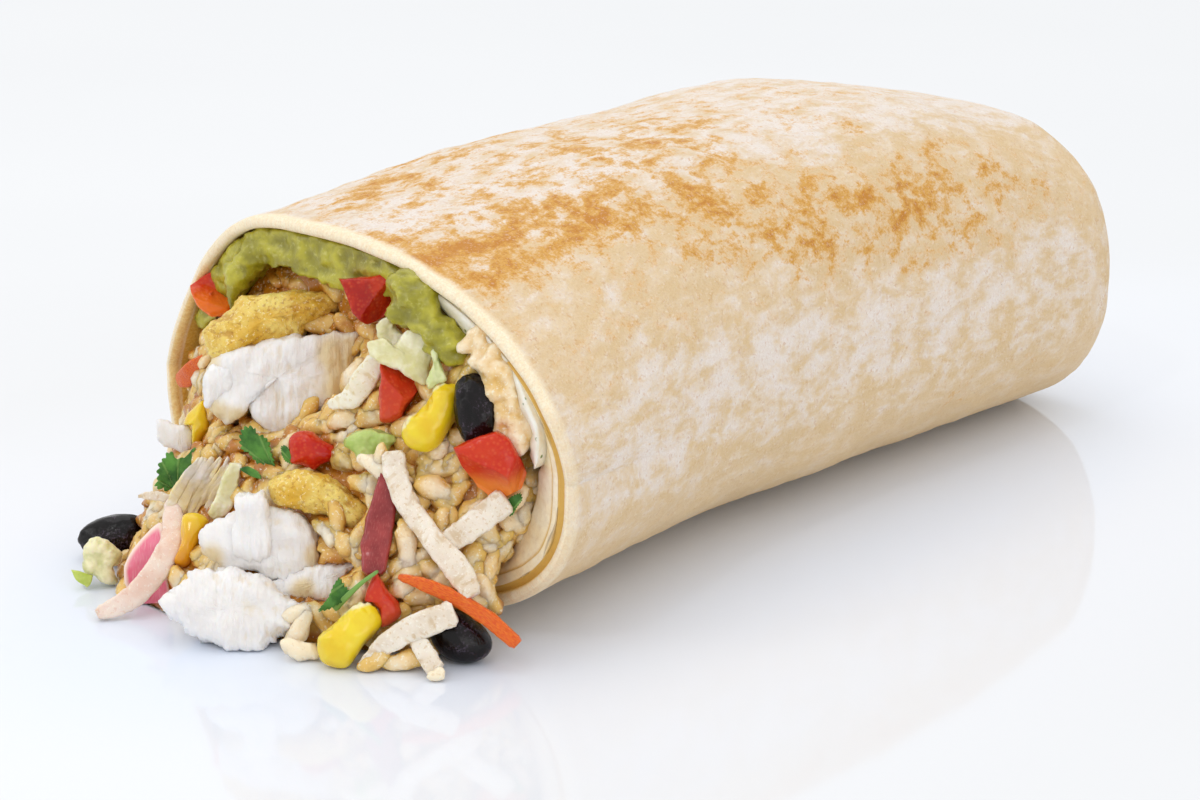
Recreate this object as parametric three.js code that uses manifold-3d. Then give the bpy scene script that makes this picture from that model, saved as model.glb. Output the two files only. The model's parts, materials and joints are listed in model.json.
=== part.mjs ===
// A burrito lying on its side: a flour tortilla rolled round rice, beans, fish, salsa and guacamole.
// The far end is tucked shut, and the filling spills out of the open end in a heap.
// Millimetres, +Z up. The roll lies along Y with its open end towards -Y, flat on the ground at z = 0.
// Places are given from the middle of the open rim; the group then centres the whole on its own base.
import * as THREE from 'three';
import { mergeVertices } from 'three/addons/utils/BufferGeometryUtils.js';
import { ConvexGeometry } from 'three/addons/geometries/ConvexGeometry.js';
import Module from 'manifold-3d';

const wasm = await Module();
wasm.setup();

// ---------------------------------------------------------------- driving dimensions
const LENGTH = 156;          // rolled tortilla, open rim to tucked end
const WALL = 1.9;            // thickness of the tortilla sheet
const CLEARANCE = 0.34;      // air between neighbouring pieces
const FINENESS = 0.1;        // detail smaller than this is smoothed away after the cuts
const BASE_CENTRE = { x: -1.1, y: 60.5 };   // middle of the whole thing's footprint

// Cross-section at stations along the roll, as fractions of LENGTH. left and right are the reach to
// each side of the crown line, top is the height, belly is the height of the widest point, and the
// last four are how square the shoulders, the feet and the sides are.
const STATIONS = [
  { at: 0.0, left: 33.4, right: 56.1, crown: -11.6, top: 52.6, belly: 24.8, shoulderLeft: 1.04, shoulderRight: 1.6, foot: 2.86, side: 2.69 },
  { at: 0.3, left: 32.4, right: 42.9, crown: -8.6, top: 57.9, belly: 21.6, shoulderLeft: 1.4, shoulderRight: 2.44, foot: 2.1, side: 3.13 },
  { at: 0.65, left: 38.5, right: 40.0, crown: -8.6, top: 59.8, belly: 21.6, shoulderLeft: 1.4, shoulderRight: 2.44, foot: 2.1, side: 3.13 },
  { at: 1.0, left: 30.4, right: 38.8, crown: -8.6, top: 52.0, belly: 21.6, shoulderLeft: 1.4, shoulderRight: 2.44, foot: 2.1, side: 3.13 },
];
const END_ROUNDING = 15;     // length over which the tucked end closes
const END_SQUARENESS = 4.9;

// Heap of filling in front of the rim. It reaches furthest in front of the ridge and dies away at
// spreadLeft and spreadRight from it; left and right are its flanks, height is where it meets the rim.
const HEAP = {
  reach: 32, ridge: -10, spreadLeft: 31, spreadRight: 62, left: 43, right: 35.5, height: 44, slope: 0.62,
};

const RICE = { length: 7.4, width: 2.7, count: 185, seed: 7 };

// ---------------------------------------------------------------- materials
function food(colour, roughness) {
  return new THREE.MeshStandardMaterial({ color: colour, roughness, metalness: 0 });
}
const MATERIALS = {
  tortilla: food(0xe9d2a4, 0.75),
  rice: food(0xd8bd83, 0.5),
  guacamole: food(0xa3b23f, 0.45),
  cream: food(0xf0ecda, 0.35),
  fish: food(0xf3efe8, 0.5),
  tomato: food(0xc93a20, 0.3),
  corn: food(0xf0cd12, 0.3),
  bean: food(0x1d1720, 0.25),
  cheese: food(0xefe4cd, 0.5),
  carrot: food(0xf06a14, 0.4),
  onion: food(0xc2506c, 0.35),
  herb: food(0x2c7a34, 0.5),
  lettuce: food(0xbcd182, 0.4),
  cabbage: food(0xe8dfae, 0.4),
};

// ---------------------------------------------------------------- solids
const clamp = THREE.MathUtils.clamp;
const smooth = THREE.MathUtils.smoothstep;

// Turns a three.js geometry into a closed solid, facing out.
function solidOf(geometry) {
  const bare = geometry.clone();
  bare.deleteAttribute('normal');
  bare.deleteAttribute('uv');
  const merged = mergeVertices(bare, 1e-4);
  const index = merged.index.array;
  const triangles = [];
  for (let i = 0; i < index.length; i += 3) {
    const [a, b, c] = [index[i], index[i + 1], index[i + 2]];
    if (a !== b && b !== c && c !== a) triangles.push(a, b, c);
  }
  const vertProperties = Float32Array.from(merged.attributes.position.array);
  const make = (order) => new wasm.Manifold(new wasm.Mesh({
    numProp: 3, vertProperties, triVerts: Uint32Array.from(order),
  }));
  const solid = make(triangles);
  if (solid.volume() > 0) return solid;
  return make(triangles.reverse());
}

function geometryOf(solid) {
  const mesh = solid.getMesh();
  const geometry = new THREE.BufferGeometry();
  const points = new Float32Array(mesh.numVert * 3);
  for (let i = 0; i < mesh.numVert; i++) {
    for (let k = 0; k < 3; k++) points[3 * i + k] = mesh.vertProperties[i * mesh.numProp + k];
  }
  geometry.setAttribute('position', new THREE.BufferAttribute(points, 3));
  geometry.setIndex(new THREE.BufferAttribute(Uint32Array.from(mesh.triVerts), 1));
  geometry.computeVertexNormals();
  return geometry;
}

// The same solid with every face moved outwards by amount, so its corners move a little further.
function swollen(solid, amount) {
  const geometry = geometryOf(solid);
  const position = geometry.attributes.position;
  const index = geometry.index.array;
  const faces = Array.from({ length: position.count }, () => []);
  const triangle = new THREE.Triangle();
  for (let i = 0; i < index.length; i += 3) {
    const corners = [index[i], index[i + 1], index[i + 2]];
    triangle.setFromAttributeAndIndices(position, ...corners);
    const normal = triangle.getNormal(new THREE.Vector3());
    corners.forEach((corner) => faces[corner].push(normal));
  }
  const sharpest = 0.4;
  const point = new THREE.Vector3();
  faces.forEach((normals, i) => {
    const mean = normals.reduce((sum, normal) => sum.add(normal), new THREE.Vector3()).normalize();
    const facing = Math.min(...normals.map((normal) => normal.dot(mean)));
    point.fromBufferAttribute(position, i).addScaledVector(mean, amount / Math.max(facing, sharpest));
    position.setXYZ(i, point.x, point.y, point.z);
  });
  return solidOf(geometry);
}

function largestPart(solid) {
  const parts = solid.decompose();
  return parts.reduce((best, part) => (part.volume() > best.volume() ? part : best));
}

// Moves every corner of a geometry to where place puts it.
function shaped(geometry, place) {
  const position = geometry.attributes.position;
  const point = new THREE.Vector3();
  for (let i = 0; i < position.count; i++) {
    point.fromBufferAttribute(position, i);
    const moved = place(point);
    position.setXYZ(i, moved.x, moved.y, moved.z);
  }
  return geometry;
}

// A closed loft: place(angle, level, reach) gives the skin at reach 1 and the end caps' middle at 0.
function loft(around, levels, place) {
  const cylinder = new THREE.CylinderGeometry(1, 1, 1, around, levels);
  return shaped(cylinder, (p) => place(Math.atan2(p.x, p.z), p.y + 0.5, Math.hypot(p.x, p.z) > 0.5 ? 1 : 0));
}

// A closed sheet whose two faces are split into the same triangles: place(u, v, side), side 0 or 1.
function sheet(columns, rows, place) {
  const face = new THREE.PlaneGeometry(1, 1, columns, rows);
  const corners = face.attributes.position;
  const points = [];
  for (const side of [0, 1]) {
    for (let i = 0; i < corners.count; i++) {
      points.push(...place(corners.getX(i) + 0.5, corners.getY(i) + 0.5, side).toArray());
    }
  }
  const index = [];
  const half = corners.count;
  const order = face.index.array;
  for (let i = 0; i < order.length; i += 3) {
    index.push(order[i], order[i + 1], order[i + 2]);
    index.push(half + order[i + 2], half + order[i + 1], half + order[i]);
  }
  const at = (column, row) => row * (columns + 1) + column;
  const rim = [];
  for (let c = 0; c < columns; c++) rim.push(at(c, 0));
  for (let r = 0; r < rows; r++) rim.push(at(columns, r));
  for (let c = columns; c > 0; c--) rim.push(at(c, rows));
  for (let r = rows; r > 0; r--) rim.push(at(0, r));
  rim.forEach((a, i) => {
    const b = rim[(i + 1) % rim.length];
    index.push(a, b, half + b, a, half + b, half + a);
  });
  const geometry = new THREE.BufferGeometry();
  geometry.setAttribute('position', new THREE.Float32BufferAttribute(points, 3));
  geometry.setIndex(index);
  return geometry;
}

// Gentle unevenness that differs from piece to piece: a sum of slanted waves, about -1 to 1.
function lumps(p, size, seed) {
  const k = (2 * Math.PI) / size;
  const a = Math.sin(k * (p.x + 0.4 * p.z) + seed);
  const b = Math.sin(k * (0.83 * p.y - 0.55 * p.x) + 2.1 * seed);
  const c = Math.sin(k * (0.71 * p.z + 0.6 * p.y) + 3.3 * seed);
  return (a + b + c) / 3;
}

// ---------------------------------------------------------------- tortilla
// One measure of the cross-section at t, on a curve through the stations that doesn't overshoot.
function eased(key, t) {
  let i = 0;
  while (i < STATIONS.length - 2 && t > STATIONS[i + 1].at) i++;
  const rise = (k) => (STATIONS[k + 1][key] - STATIONS[k][key]) / (STATIONS[k + 1].at - STATIONS[k].at);
  const tangent = (k) => {
    if (k === 0) return rise(0);
    if (k === STATIONS.length - 1) return rise(k - 1);
    const [before, after] = [rise(k - 1), rise(k)];
    return before * after > 0 ? (2 * before * after) / (before + after) : 0;
  };
  const span = STATIONS[i + 1].at - STATIONS[i].at;
  const f = (t - STATIONS[i].at) / span;
  const [start, end] = [STATIONS[i][key], STATIONS[i + 1][key]];
  const pull = f * (1 - f) * span * ((1 - f) * tangent(i) - f * tangent(i + 1));
  return start + (end - start) * f * f * (3 - 2 * f) + pull;
}

// All the measures of the cross-section at y.
function measuresAt(y) {
  const t = clamp(y / LENGTH, 0, 1);
  return Object.fromEntries(Object.keys(STATIONS[0]).map((key) => [key, eased(key, t)]));
}

// A point of the roll's skin, inset inwards from the outer face. angle 0 is the right side, 90 the crown.
function rollPoint(angle, y, inset) {
  const m = measuresAt(y);
  const c = Math.cos(angle);
  const s = Math.sin(angle);
  const reach = (c > 0 ? m.right : m.left) - inset;
  const x = m.crown + reach * Math.sign(c) * Math.abs(c) ** (2 / m.side);
  const shoulder = m.shoulderLeft + (m.shoulderRight - m.shoulderLeft) * (1 + c) / 2;
  const up = (m.top - inset - m.belly) * Math.abs(s) ** (2 / shoulder);
  const down = (m.belly + 1 - inset) * Math.abs(s) ** (2 / m.foot);
  const z = s > 0 ? m.belly + up : Math.max(m.belly - down, inset);
  const q = clamp((y - (LENGTH - END_ROUNDING)) / (END_ROUNDING - inset), 0, 1);
  const shrink = (1 - q ** END_SQUARENESS) ** (1 / END_SQUARENESS);
  return new THREE.Vector3(m.crown + (x - m.crown) * shrink, y, m.belly + (z - m.belly) * shrink);
}

// Places along the roll: even steps, then closer ones round the tucked end.
function rollStops(start, steps, endSteps, inset) {
  const straight = LENGTH - END_ROUNDING;
  const stops = [];
  for (let i = 0; i <= steps; i++) stops.push(start + ((straight - start) * i) / steps);
  for (let i = 1; i <= endSteps; i++) {
    const q = Math.sin((i / endSteps) * 1.45) ** (2 / END_SQUARENESS);
    stops.push(straight + q * (END_ROUNDING - inset));
  }
  return stops;
}

function rollSolid(inset, start, around, steps, endSteps) {
  const stops = rollStops(start, steps, endSteps, inset);
  return solidOf(loft(around, stops.length - 1, (angle, level, reach) => {
    const y = stops[Math.round(level * (stops.length - 1))];
    if (reach > 0) return rollPoint(angle, y, inset);
    const m = measuresAt(y);
    return new THREE.Vector3(m.crown, y, m.belly);
  }));
}

// The sheet's inner end: a second ply inside the right wall. A groove parts it from the outer ply at
// the mouth, and behind that it thickens into the fold that narrows the pocket.
const PLY = {
  from: -1.35, to: 0.72, back: 130, mouth: 0.9, groove: 1.1, grooveDepth: 4.5, thickness: 1.5, fold: 6.5, foldDepth: 10,
};
function plyPoint(u, v, side) {
  const angle = PLY.from + (PLY.to - PLY.from) * u;
  const y = PLY.mouth + (PLY.back - PLY.mouth) * v ** 2.2;
  const joined = smooth(y, PLY.grooveDepth * 0.6, PLY.grooveDepth);
  const outer = WALL + PLY.groove - joined * (PLY.groove + 0.5);
  const window = Math.sin(Math.PI * u) ** 0.7;
  const fold = PLY.fold * window * smooth(y, 0, PLY.foldDepth) * (1 - smooth(y, 60, PLY.back));
  const inner = WALL + PLY.groove + PLY.thickness * (0.35 + 0.65 * window) + fold;
  return rollPoint(angle, y, side ? inner : outer);
}

const cavity = rollSolid(WALL, -3, 36, 9, 4);
const innerPly = solidOf(sheet(9, 7, plyPoint));
const tortilla = largestPart(rollSolid(0, 0, 36, 9, 4).subtract(cavity).add(innerPly));

// Everything that isn't tortilla stays inside this space: the pocket, and the ground before the rim.
const yard = new THREE.BoxGeometry(120, 60, 70).translate(0, -30 - CLEARANCE, 35);
const room = rollSolid(WALL + CLEARANCE, -3, 36, 9, 4).add(solidOf(yard)).subtract(swollen(innerPly, CLEARANCE));

// ---------------------------------------------------------------- laying pieces on the heap
// The heap faces the front right corner. right, up and out are directions as seen from there.
const FACING = { azimuth: THREE.MathUtils.degToRad(44), elevation: THREE.MathUtils.degToRad(16) };
const out = new THREE.Vector3(
  Math.sin(FACING.azimuth) * Math.cos(FACING.elevation),
  -Math.cos(FACING.azimuth) * Math.cos(FACING.elevation),
  Math.sin(FACING.elevation),
);
const right = new THREE.Vector3(Math.cos(FACING.azimuth), Math.sin(FACING.azimuth), 0);
const up = new THREE.Vector3().crossVectors(out, right);

// A piece's own x axis is turned by turn degrees from right towards up, its z axis points out. lean
// then brings its x end forward, and nod its y end.
function laid({ at, turn = 0, lean = 0, nod = 0 }) {
  const degrees = THREE.MathUtils.degToRad;
  const basis = new THREE.Matrix4().makeBasis(right, up, out);
  const spin = new THREE.Matrix4().makeRotationZ(degrees(turn));
  const tip = new THREE.Matrix4().makeRotationY(degrees(-lean));
  const roll = new THREE.Matrix4().makeRotationX(degrees(nod));
  const place = new THREE.Matrix4().makeTranslation(...at);
  return place.multiply(basis).multiply(spin).multiply(tip).multiply(roll);
}

function heapReach(x) {
  const leftOfRidge = x < HEAP.ridge;
  const away = leftOfRidge ? (HEAP.ridge - x) / HEAP.spreadLeft : (x - HEAP.ridge) / HEAP.spreadRight;
  return HEAP.reach * Math.max(0.02, 1 - away ** (leftOfRidge ? 2.2 : 2));
}
function heapHeight(x, y) {
  const flank = x / (x < 0 ? HEAP.left : HEAP.right);
  const across = Math.sqrt(Math.max(0, 1 - flank ** 4));
  const forward = clamp(-y / heapReach(x), 0, 1);
  const uneven = 0.9 * lumps(new THREE.Vector3(x, y, 0), 13, 2) * smooth(forward, 0.02, 0.2) * (1 - forward);
  return HEAP.height * across * (1 - forward ** HEAP.slope) + uneven * across;
}

// ---------------------------------------------------------------- shapes of the toppings
// A bean or kernel: an ellipsoid, bent sideways by bend and narrowed by taper towards its +x end.
function bead({ length, width, depth, bend = 0, taper = 0, segments = 9, rings = 6 }) {
  const ball = new THREE.SphereGeometry(1, segments, rings);
  return shaped(ball, (p) => {
    const along = p.y;
    const narrow = 1 - taper * (along + 1) / 2;
    const side = (width / 2) * narrow * p.x + bend * (along * along - 0.4);
    return new THREE.Vector3((length / 2) * along, side, (depth / 2) * narrow * p.z);
  });
}

// A hand-cut dice: the hull of a box whose corners are knocked off unevenly.
function dice({ length, width, depth, seed, skew = 0.16 }) {
  const corners = [];
  const chop = 0.24;
  for (const x of [-1, 1]) {
    for (const y of [-1, 1]) {
      for (const z of [-1, 1]) {
        const jitter = skew * Math.sin(seed * 5.1 + x * 2.3 + y * 3.7 + z * 1.9);
        const corner = new THREE.Vector3(x * (1 - jitter), y * (1 + jitter), z * (1 - 0.6 * jitter));
        for (const axis of ['x', 'y', 'z']) {
          const cut = corner.clone();
          cut[axis] *= 1 - chop;
          corners.push(cut.multiply(new THREE.Vector3(length / 2, width / 2, depth / 2)));
        }
      }
    }
  }
  return new ConvexGeometry(corners);
}

// A chunk of cooked fish: a rounded block with lengthwise flakes, ragged at its rim.
function chunk({ length, width, depth, flakes = 5, seed = 1, ragged = 0.12, segments = 16, rings = 9 }) {
  const ball = new THREE.SphereGeometry(1, segments, rings);
  return shaped(ball, (p) => {
    const boxy = 1 / Math.max(Math.abs(p.x), Math.abs(p.y), Math.abs(p.z)) ** 0.45;
    const rim = 1 + ragged * Math.sin(7 * Math.atan2(p.y, p.x) + seed) * Math.hypot(p.x, p.y);
    const ridge = 1 + 0.07 * Math.sin(flakes * Math.PI * p.x + seed) * Math.max(0, p.z);
    return new THREE.Vector3(
      (length / 2) * p.x * boxy * rim,
      (width / 2) * p.y * boxy * rim,
      (depth / 2) * p.z * boxy * ridge,
    );
  });
}

// A strip from one end to the other. bow lifts its middle outwards, curl pushes it sideways.
function strip({ from, to, width, depth, bow = 0, curl = 0, twist = 0, taper = 0.25, steps = 6, face = out }) {
  const start = new THREE.Vector3(...from);
  const along = new THREE.Vector3(...to).sub(start);
  const across = new THREE.Vector3().crossVectors(face, along).normalize();
  const outward = new THREE.Vector3().crossVectors(along, across).normalize();
  return sheet(steps, 1, (u, v, side) => {
    const arch = Math.sin(Math.PI * u);
    const half = (width / 2) * (1 - taper * (1 - arch));
    const angle = twist * (u - 0.5);
    const w = (v - 0.5) * 2 * half;
    const d = (side - 0.5) * depth;
    const point = start.clone().addScaledVector(along, u);
    point.addScaledVector(across, curl * arch + w * Math.cos(angle) - d * Math.sin(angle));
    return point.addScaledVector(outward, bow * arch + w * Math.sin(angle) + d * Math.cos(angle));
  });
}

// A leaf: lobed edges either side of a midrib, cupped and wavy.
function leaf({ length, width, depth = 0.55, lobes = 3, cup = 0.8, wave = 0.5, seed = 1, steps = 7 }) {
  return sheet(steps, 3, (u, v, side) => {
    const body = Math.sin(Math.PI * (0.06 + 0.88 * u)) ** 0.8;
    const notch = 1 - 0.3 * Math.abs(Math.sin(lobes * Math.PI * u + seed * 0.3));
    const w = (v - 0.5) * width * body * notch;
    const rise = cup * (w / width) ** 2 * 4 + wave * Math.sin(2 * Math.PI * u + seed + 3 * v);
    return new THREE.Vector3(length * (u - 0.5), w, rise + (side - 0.5) * depth);
  });
}

// A torn, curled piece of crisp leaf or rib.
function shard({ length, width, depth, curl = 1.5, seed = 1, steps = 5 }) {
  return sheet(steps, 2, (u, v, side) => {
    const edge = 1 + 0.18 * Math.sin(9 * u + seed) - 0.3 * (2 * u - 1) ** 2;
    const w = (v - 0.5) * width * edge;
    const rise = curl * Math.sin(Math.PI * v) + 0.5 * curl * Math.sin(4 * u + seed);
    return new THREE.Vector3(length * (u - 0.5) * (1 + 0.1 * Math.sin(5 * v + seed)), w, rise + (side - 0.5) * depth);
  });
}

// ---------------------------------------------------------------- the toppings, nearest the eye first
const toppings = [];
function topping(name, material, geometry) {
  toppings.push({ name, material: MATERIALS[material], solid: solidOf(geometry) });
}
function lay(name, material, geometry, placing) {
  topping(name, material, geometry.applyMatrix4(laid(placing)));
}

// Strips and shreds that lie over everything else.
topping('carrot_front', 'carrot', strip({ from: [27, -14.8, 11.2], to: [41, -7.4, 4.3], width: 2.7, depth: 1.8, bow: 1 }));
topping('cheese_front', 'cheese', strip({ from: [26.8, -21.4, 1.4], to: [34.8, -12.6, 8], width: 4.2, depth: 1.5 }));
topping('cheese_low', 'cheese', strip({ from: [31, -16.2, 4.6], to: [35.6, -16.2, 1.2], width: 3, depth: 1.5 }));
topping('cheese_long', 'cheese', strip({ from: [19.4, -8.2, 24.6], to: [34.6, -9.4, 10], width: 4.4, depth: 1.6, bow: 0.7, taper: 0.1 }));
topping('cheese_across', 'cheese', strip({ from: [28.4, -9, 15], to: [34.2, -2.2, 21], width: 4.2, depth: 1.5, taper: 0.15 }));
topping('cheese_curl', 'cheese', strip({ from: [-18.8, -19.6, 13.2], to: [-15.6, -33.4, 1.2], width: 4, depth: 1.6, curl: -3.6, bow: 1, steps: 8 }));
topping('cheese_thin', 'cheese', strip({ from: [-23, -21.8, 13.2], to: [-18.4, -17.6, 12.6], width: 1.5, depth: 1, steps: 4 }));
topping('cheese_slip', 'cheese', strip({ from: [9.6, -3.2, 36.4], to: [5, -6.6, 29.6], width: 2.6, depth: 1.3, curl: 0.8 }));
topping('onion_centre', 'onion', strip({ from: [17.4, -8.6, 24], to: [22.2, -15.4, 11.2], width: 4, depth: 1.8, bow: 0.9, steps: 5 }));

// Corn kernels, their crowns at the -x end.
const KERNEL = { length: 10.6, width: 7.8, depth: 5.6, taper: 0.34 };
lay('corn_centre', 'corn', bead(KERNEL), { at: [21.2, -4.6, 30.4], turn: 52 });
lay('corn_front', 'corn', bead(KERNEL), { at: [23, -21.6, 4.2], turn: 42 });
lay('corn_left', 'corn', bead({ ...KERNEL, length: 9, width: 5.6 }), { at: [-27.6, -7.4, 20.4], turn: 78 });
lay('corn_side', 'corn', bead({ ...KERNEL, length: 10, width: 5.4 }), { at: [-11.2, -21.8, 9.8], turn: 62 });

// Black beans.
const BEAN = { length: 10.4, width: 6.6, depth: 6, bend: 0.7 };
lay('bean_front', 'bean', bead({ ...BEAN, length: 8.6 }), { at: [33.2, -10.2, 3.5], turn: -35 });
lay('bean_right', 'bean', bead(BEAN), { at: [28.3, -0.6, 32.2], turn: 98 });
lay('bean_left', 'bean', bead(BEAN), { at: [-34.8, -18.4, 3.4], turn: 14 });

// Diced tomato and pepper.
lay('tomato_right', 'tomato', dice({ length: 7.4, width: 8, depth: 6.6, seed: 1 }), { at: [31.2, -2.6, 25.4], turn: 21, lean: 10, nod: -20 });
lay('tomato_centre', 'tomato', dice({ length: 6, width: 7.6, depth: 4.6, seed: 2 }), { at: [14, -3.4, 32.9], turn: -14, lean: -15 });
lay('tomato_top', 'tomato', dice({ length: 8.4, width: 7.4, depth: 6, seed: 3 }), { at: [3.6, 0.6, 43], turn: 8 });
lay('tomato_left', 'tomato', dice({ length: 6.4, width: 7, depth: 5.4, seed: 4 }), { at: [-33, 0.6, 37.7], turn: -12, nod: -10 });
lay('tomato_small', 'tomato', bead({ length: 8.6, width: 5.4, depth: 5, bend: -0.8 }), { at: [2.8, -9.8, 23.4], turn: -18 });
lay('tomato_low', 'tomato', bead({ length: 8.6, width: 4.6, depth: 4, bend: 0.6 }), { at: [24.2, -16.4, 7.4], turn: -62 });

// Herbs and salad leaves.
lay('herb_left', 'herb', leaf({ length: 7.6, width: 6.8, seed: 1 }), { at: [-22.4, -15, 15.2], turn: 52, lean: 15 });
lay('herb_top', 'herb', leaf({ length: 8, width: 5, seed: 2 }), { at: [-6.2, -12.4, 21.8], turn: -48 });
lay('herb_front', 'herb', leaf({ length: 8.4, width: 4, seed: 3 }), { at: [20.3, -18.6, 8.8], turn: 40 });
lay('herb_right', 'herb', leaf({ length: 4.4, width: 3.2, seed: 4, steps: 6 }), { at: [34.6, -1.6, 20], turn: 60 });
lay('lettuce_centre', 'lettuce', shard({ length: 7.6, width: 4.8, depth: 2.6, curl: 0.8, seed: 1 }), { at: [12.8, -7.6, 25.7], turn: 4 });
lay('lettuce_left', 'lettuce', shard({ length: 7.6, width: 7, depth: 2.2, curl: 1.5, seed: 3 }), { at: [-27.4, -27.4, 3.8], turn: 24 });
lay('lettuce_chip', 'lettuce', shard({ length: 4, width: 2.4, depth: 1, curl: 0.5, seed: 2, steps: 4 }), { at: [-27.6, -30.4, 1.5], turn: -18 });
lay('cabbage_upper', 'cabbage', shard({ length: 5.4, width: 7, depth: 1.2, curl: 1.2, seed: 2 }), { at: [9.6, -1.5, 39.4], turn: -12 });
lay('cabbage_middle', 'cabbage', shard({ length: 6.6, width: 7, depth: 1.2, curl: 1.5, seed: 4 }), { at: [16.2, -2.2, 37.4], turn: -28 });
lay('cabbage_right', 'cabbage', shard({ length: 4.6, width: 5.6, depth: 1.1, curl: 1.4, seed: 5 }), { at: [21.2, -1.6, 36.9], turn: -10 });
topping('cabbage_left', 'cabbage', strip({ from: [-15.4, -13.6, 18.8], to: [-16, -20.6, 10.6], width: 3.6, depth: 1.1, curl: 0.8 }));
topping('cabbage_rib', 'cabbage', strip({ from: [-9, -13.6, 19.4], to: [-9.8, -19, 12.2], width: 3.4, depth: 1.4, curl: -0.6 }));
lay('onion_left', 'onion', shard({ length: 16, width: 6.4, depth: 1.8, curl: 1.6, seed: 1 }), { at: [-17.2, -25.4, 6.4], turn: 84, lean: -35, nod: 10 });

// Flaky white fish in a golden batter.
topping('carrot_left', 'carrot', strip({ from: [-40.6, -0.2, 23.2], to: [-33.4, -0.8, 28.2], width: 3.4, depth: 1.4 }));
lay('fish_flake', 'fish', shard({ length: 6.6, width: 5.4, depth: 1.6, curl: 0.6, seed: 4 }), { at: [-29.5, -10.4, 18.8], turn: 10 });
lay('fish_front', 'fish', chunk({ length: 19, width: 12.6, depth: 9, seed: 2, flakes: 4 }), { at: [5, -26.6, 5.4], turn: -6 });
lay('batter_lower', 'fish', chunk({ length: 15, width: 7.6, depth: 5.5, seed: 5, segments: 12, rings: 7 }), { at: [7.6, -13, 18], turn: -18 });
lay('fish_lower', 'fish', chunk({ length: 20, width: 14, depth: 9, seed: 3, flakes: 5 }), { at: [3.6, -19.6, 11.4], turn: -4 });

// The upper fillet runs back into the roll.
function filletPoint(p) {
  const back = p.z < 0 ? 26 : 7;
  const boxy = 1 / Math.max(Math.abs(p.x), Math.abs(p.y), Math.abs(p.z)) ** 0.5;
  const ragged = 1 + 0.1 * Math.sin(8 * Math.atan2(p.y, p.x)) * Math.hypot(p.x, p.y);
  return new THREE.Vector3(
    -14.4 + 15.4 * p.x * boxy * ragged,
    -0.5 - back * p.z * boxy,
    32.2 + 8.6 * p.y * boxy * ragged - 1.5 * p.x,
  );
}
topping('fish_upper', 'fish', shaped(new THREE.SphereGeometry(1, 18, 10), filletPoint));

// ---------------------------------------------------------------- guacamole and cream
// Guacamole is spread along the whole roof of the roll; at the mouth it bulges, drips and hangs.
const SPREAD = { from: 1.1, to: 2.6, mouth: 1.2, back: 138, depth: 4.4, mouthExtra: 2.2 };
function spreadPoint(u, v, side) {
  const angle = SPREAD.from + (SPREAD.to - SPREAD.from) * u;
  const y = SPREAD.mouth + (SPREAD.back - SPREAD.mouth) * v ** 1.6;
  const roof = WALL + 2 * CLEARANCE;
  const edge = Math.sin(Math.PI * (0.04 + 0.92 * u)) ** 0.5;
  const bulge = SPREAD.depth + SPREAD.mouthExtra * (1 - smooth(y, 0, 12));
  const fade = 1 - 0.7 * smooth(y, SPREAD.back - 14, SPREAD.back);
  const depth = bulge * edge * fade * (1 + 0.16 * Math.sin(9 * u + 0.2 * y));
  return rollPoint(angle, y, side ? roof + depth : roof);
}
const guacamole = [solidOf(sheet(13, 8, spreadPoint))];
const DOLLOPS = [
  { at: [14.6, 0.6, 44.4], size: 9.4 }, { at: [18.4, 0, 40.6], size: 8.4 }, { at: [23, 0.8, 40], size: 8 },
];
for (const { at, size } of DOLLOPS) {
  const ball = new THREE.SphereGeometry(size / 2, 10, 7);
  const dollop = shaped(ball, (p) => p.multiplyScalar(1 + 0.1 * lumps(p, 5, at[0])));
  guacamole.push(solidOf(dollop.translate(...at)));
}
const drip = strip({ from: [-24, 1.4, 45], to: [-27.6, 0.4, 36.8], width: 5, depth: 3.4, bow: 1, taper: 0.7 });
guacamole.push(solidOf(drip));

// Cream is smeared down the right wall beside the inner ply.
const SMEAR = { from: 0.56, to: 0.98, mouth: 1.4, back: 136, depth: 2.4 };
function smearPoint(u, v, side) {
  const angle = SMEAR.from + (SMEAR.to - SMEAR.from) * u;
  const y = SMEAR.mouth + (SMEAR.back - SMEAR.mouth) * v ** 1.6;
  const depth = SMEAR.depth * Math.sin(Math.PI * (0.08 + 0.84 * u)) ** 0.6 * (1 + 0.2 * Math.sin(7 * u + y));
  return rollPoint(angle, y, WALL + 2 * CLEARANCE + (side ? depth : 0));
}
const cream = solidOf(sheet(5, 8, smearPoint));

// ---------------------------------------------------------------- rice
// Seeded draws, so the grains fall the same way each time.
function draws(seed) {
  let state = seed;
  return () => {
    state = (state * 16807) % 2147483647;
    return state / 2147483647;
  };
}

function grain(at, normal, turn, random) {
  const stretch = 0.85 + 0.3 * random();
  const shape = bead({ length: RICE.length * stretch, width: RICE.width, depth: RICE.width, bend: 0.3, segments: 5, rings: 4 });
  const pose = new THREE.Object3D();
  pose.position.copy(at);
  pose.lookAt(at.clone().add(normal));
  pose.rotateZ(turn);
  pose.updateMatrix();
  return solidOf(shape.applyMatrix4(pose.matrix));
}

function heapSolid() {
  const inside = 14;
  return solidOf(sheet(16, 10, (u, v, side) => {
    const x = -HEAP.left + (HEAP.left + HEAP.right) * u;
    const y = inside - (inside + heapReach(x)) * v;
    return new THREE.Vector3(x, y, side ? Math.max(heapHeight(x, y), 0) + 0.8 : 0);
  }));
}

function meet(a, b) {
  const [p, q] = [a.boundingBox(), b.boundingBox()];
  return [0, 1, 2].every((k) => p.min[k] < q.max[k] && q.min[k] < p.max[k]);
}

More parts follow.
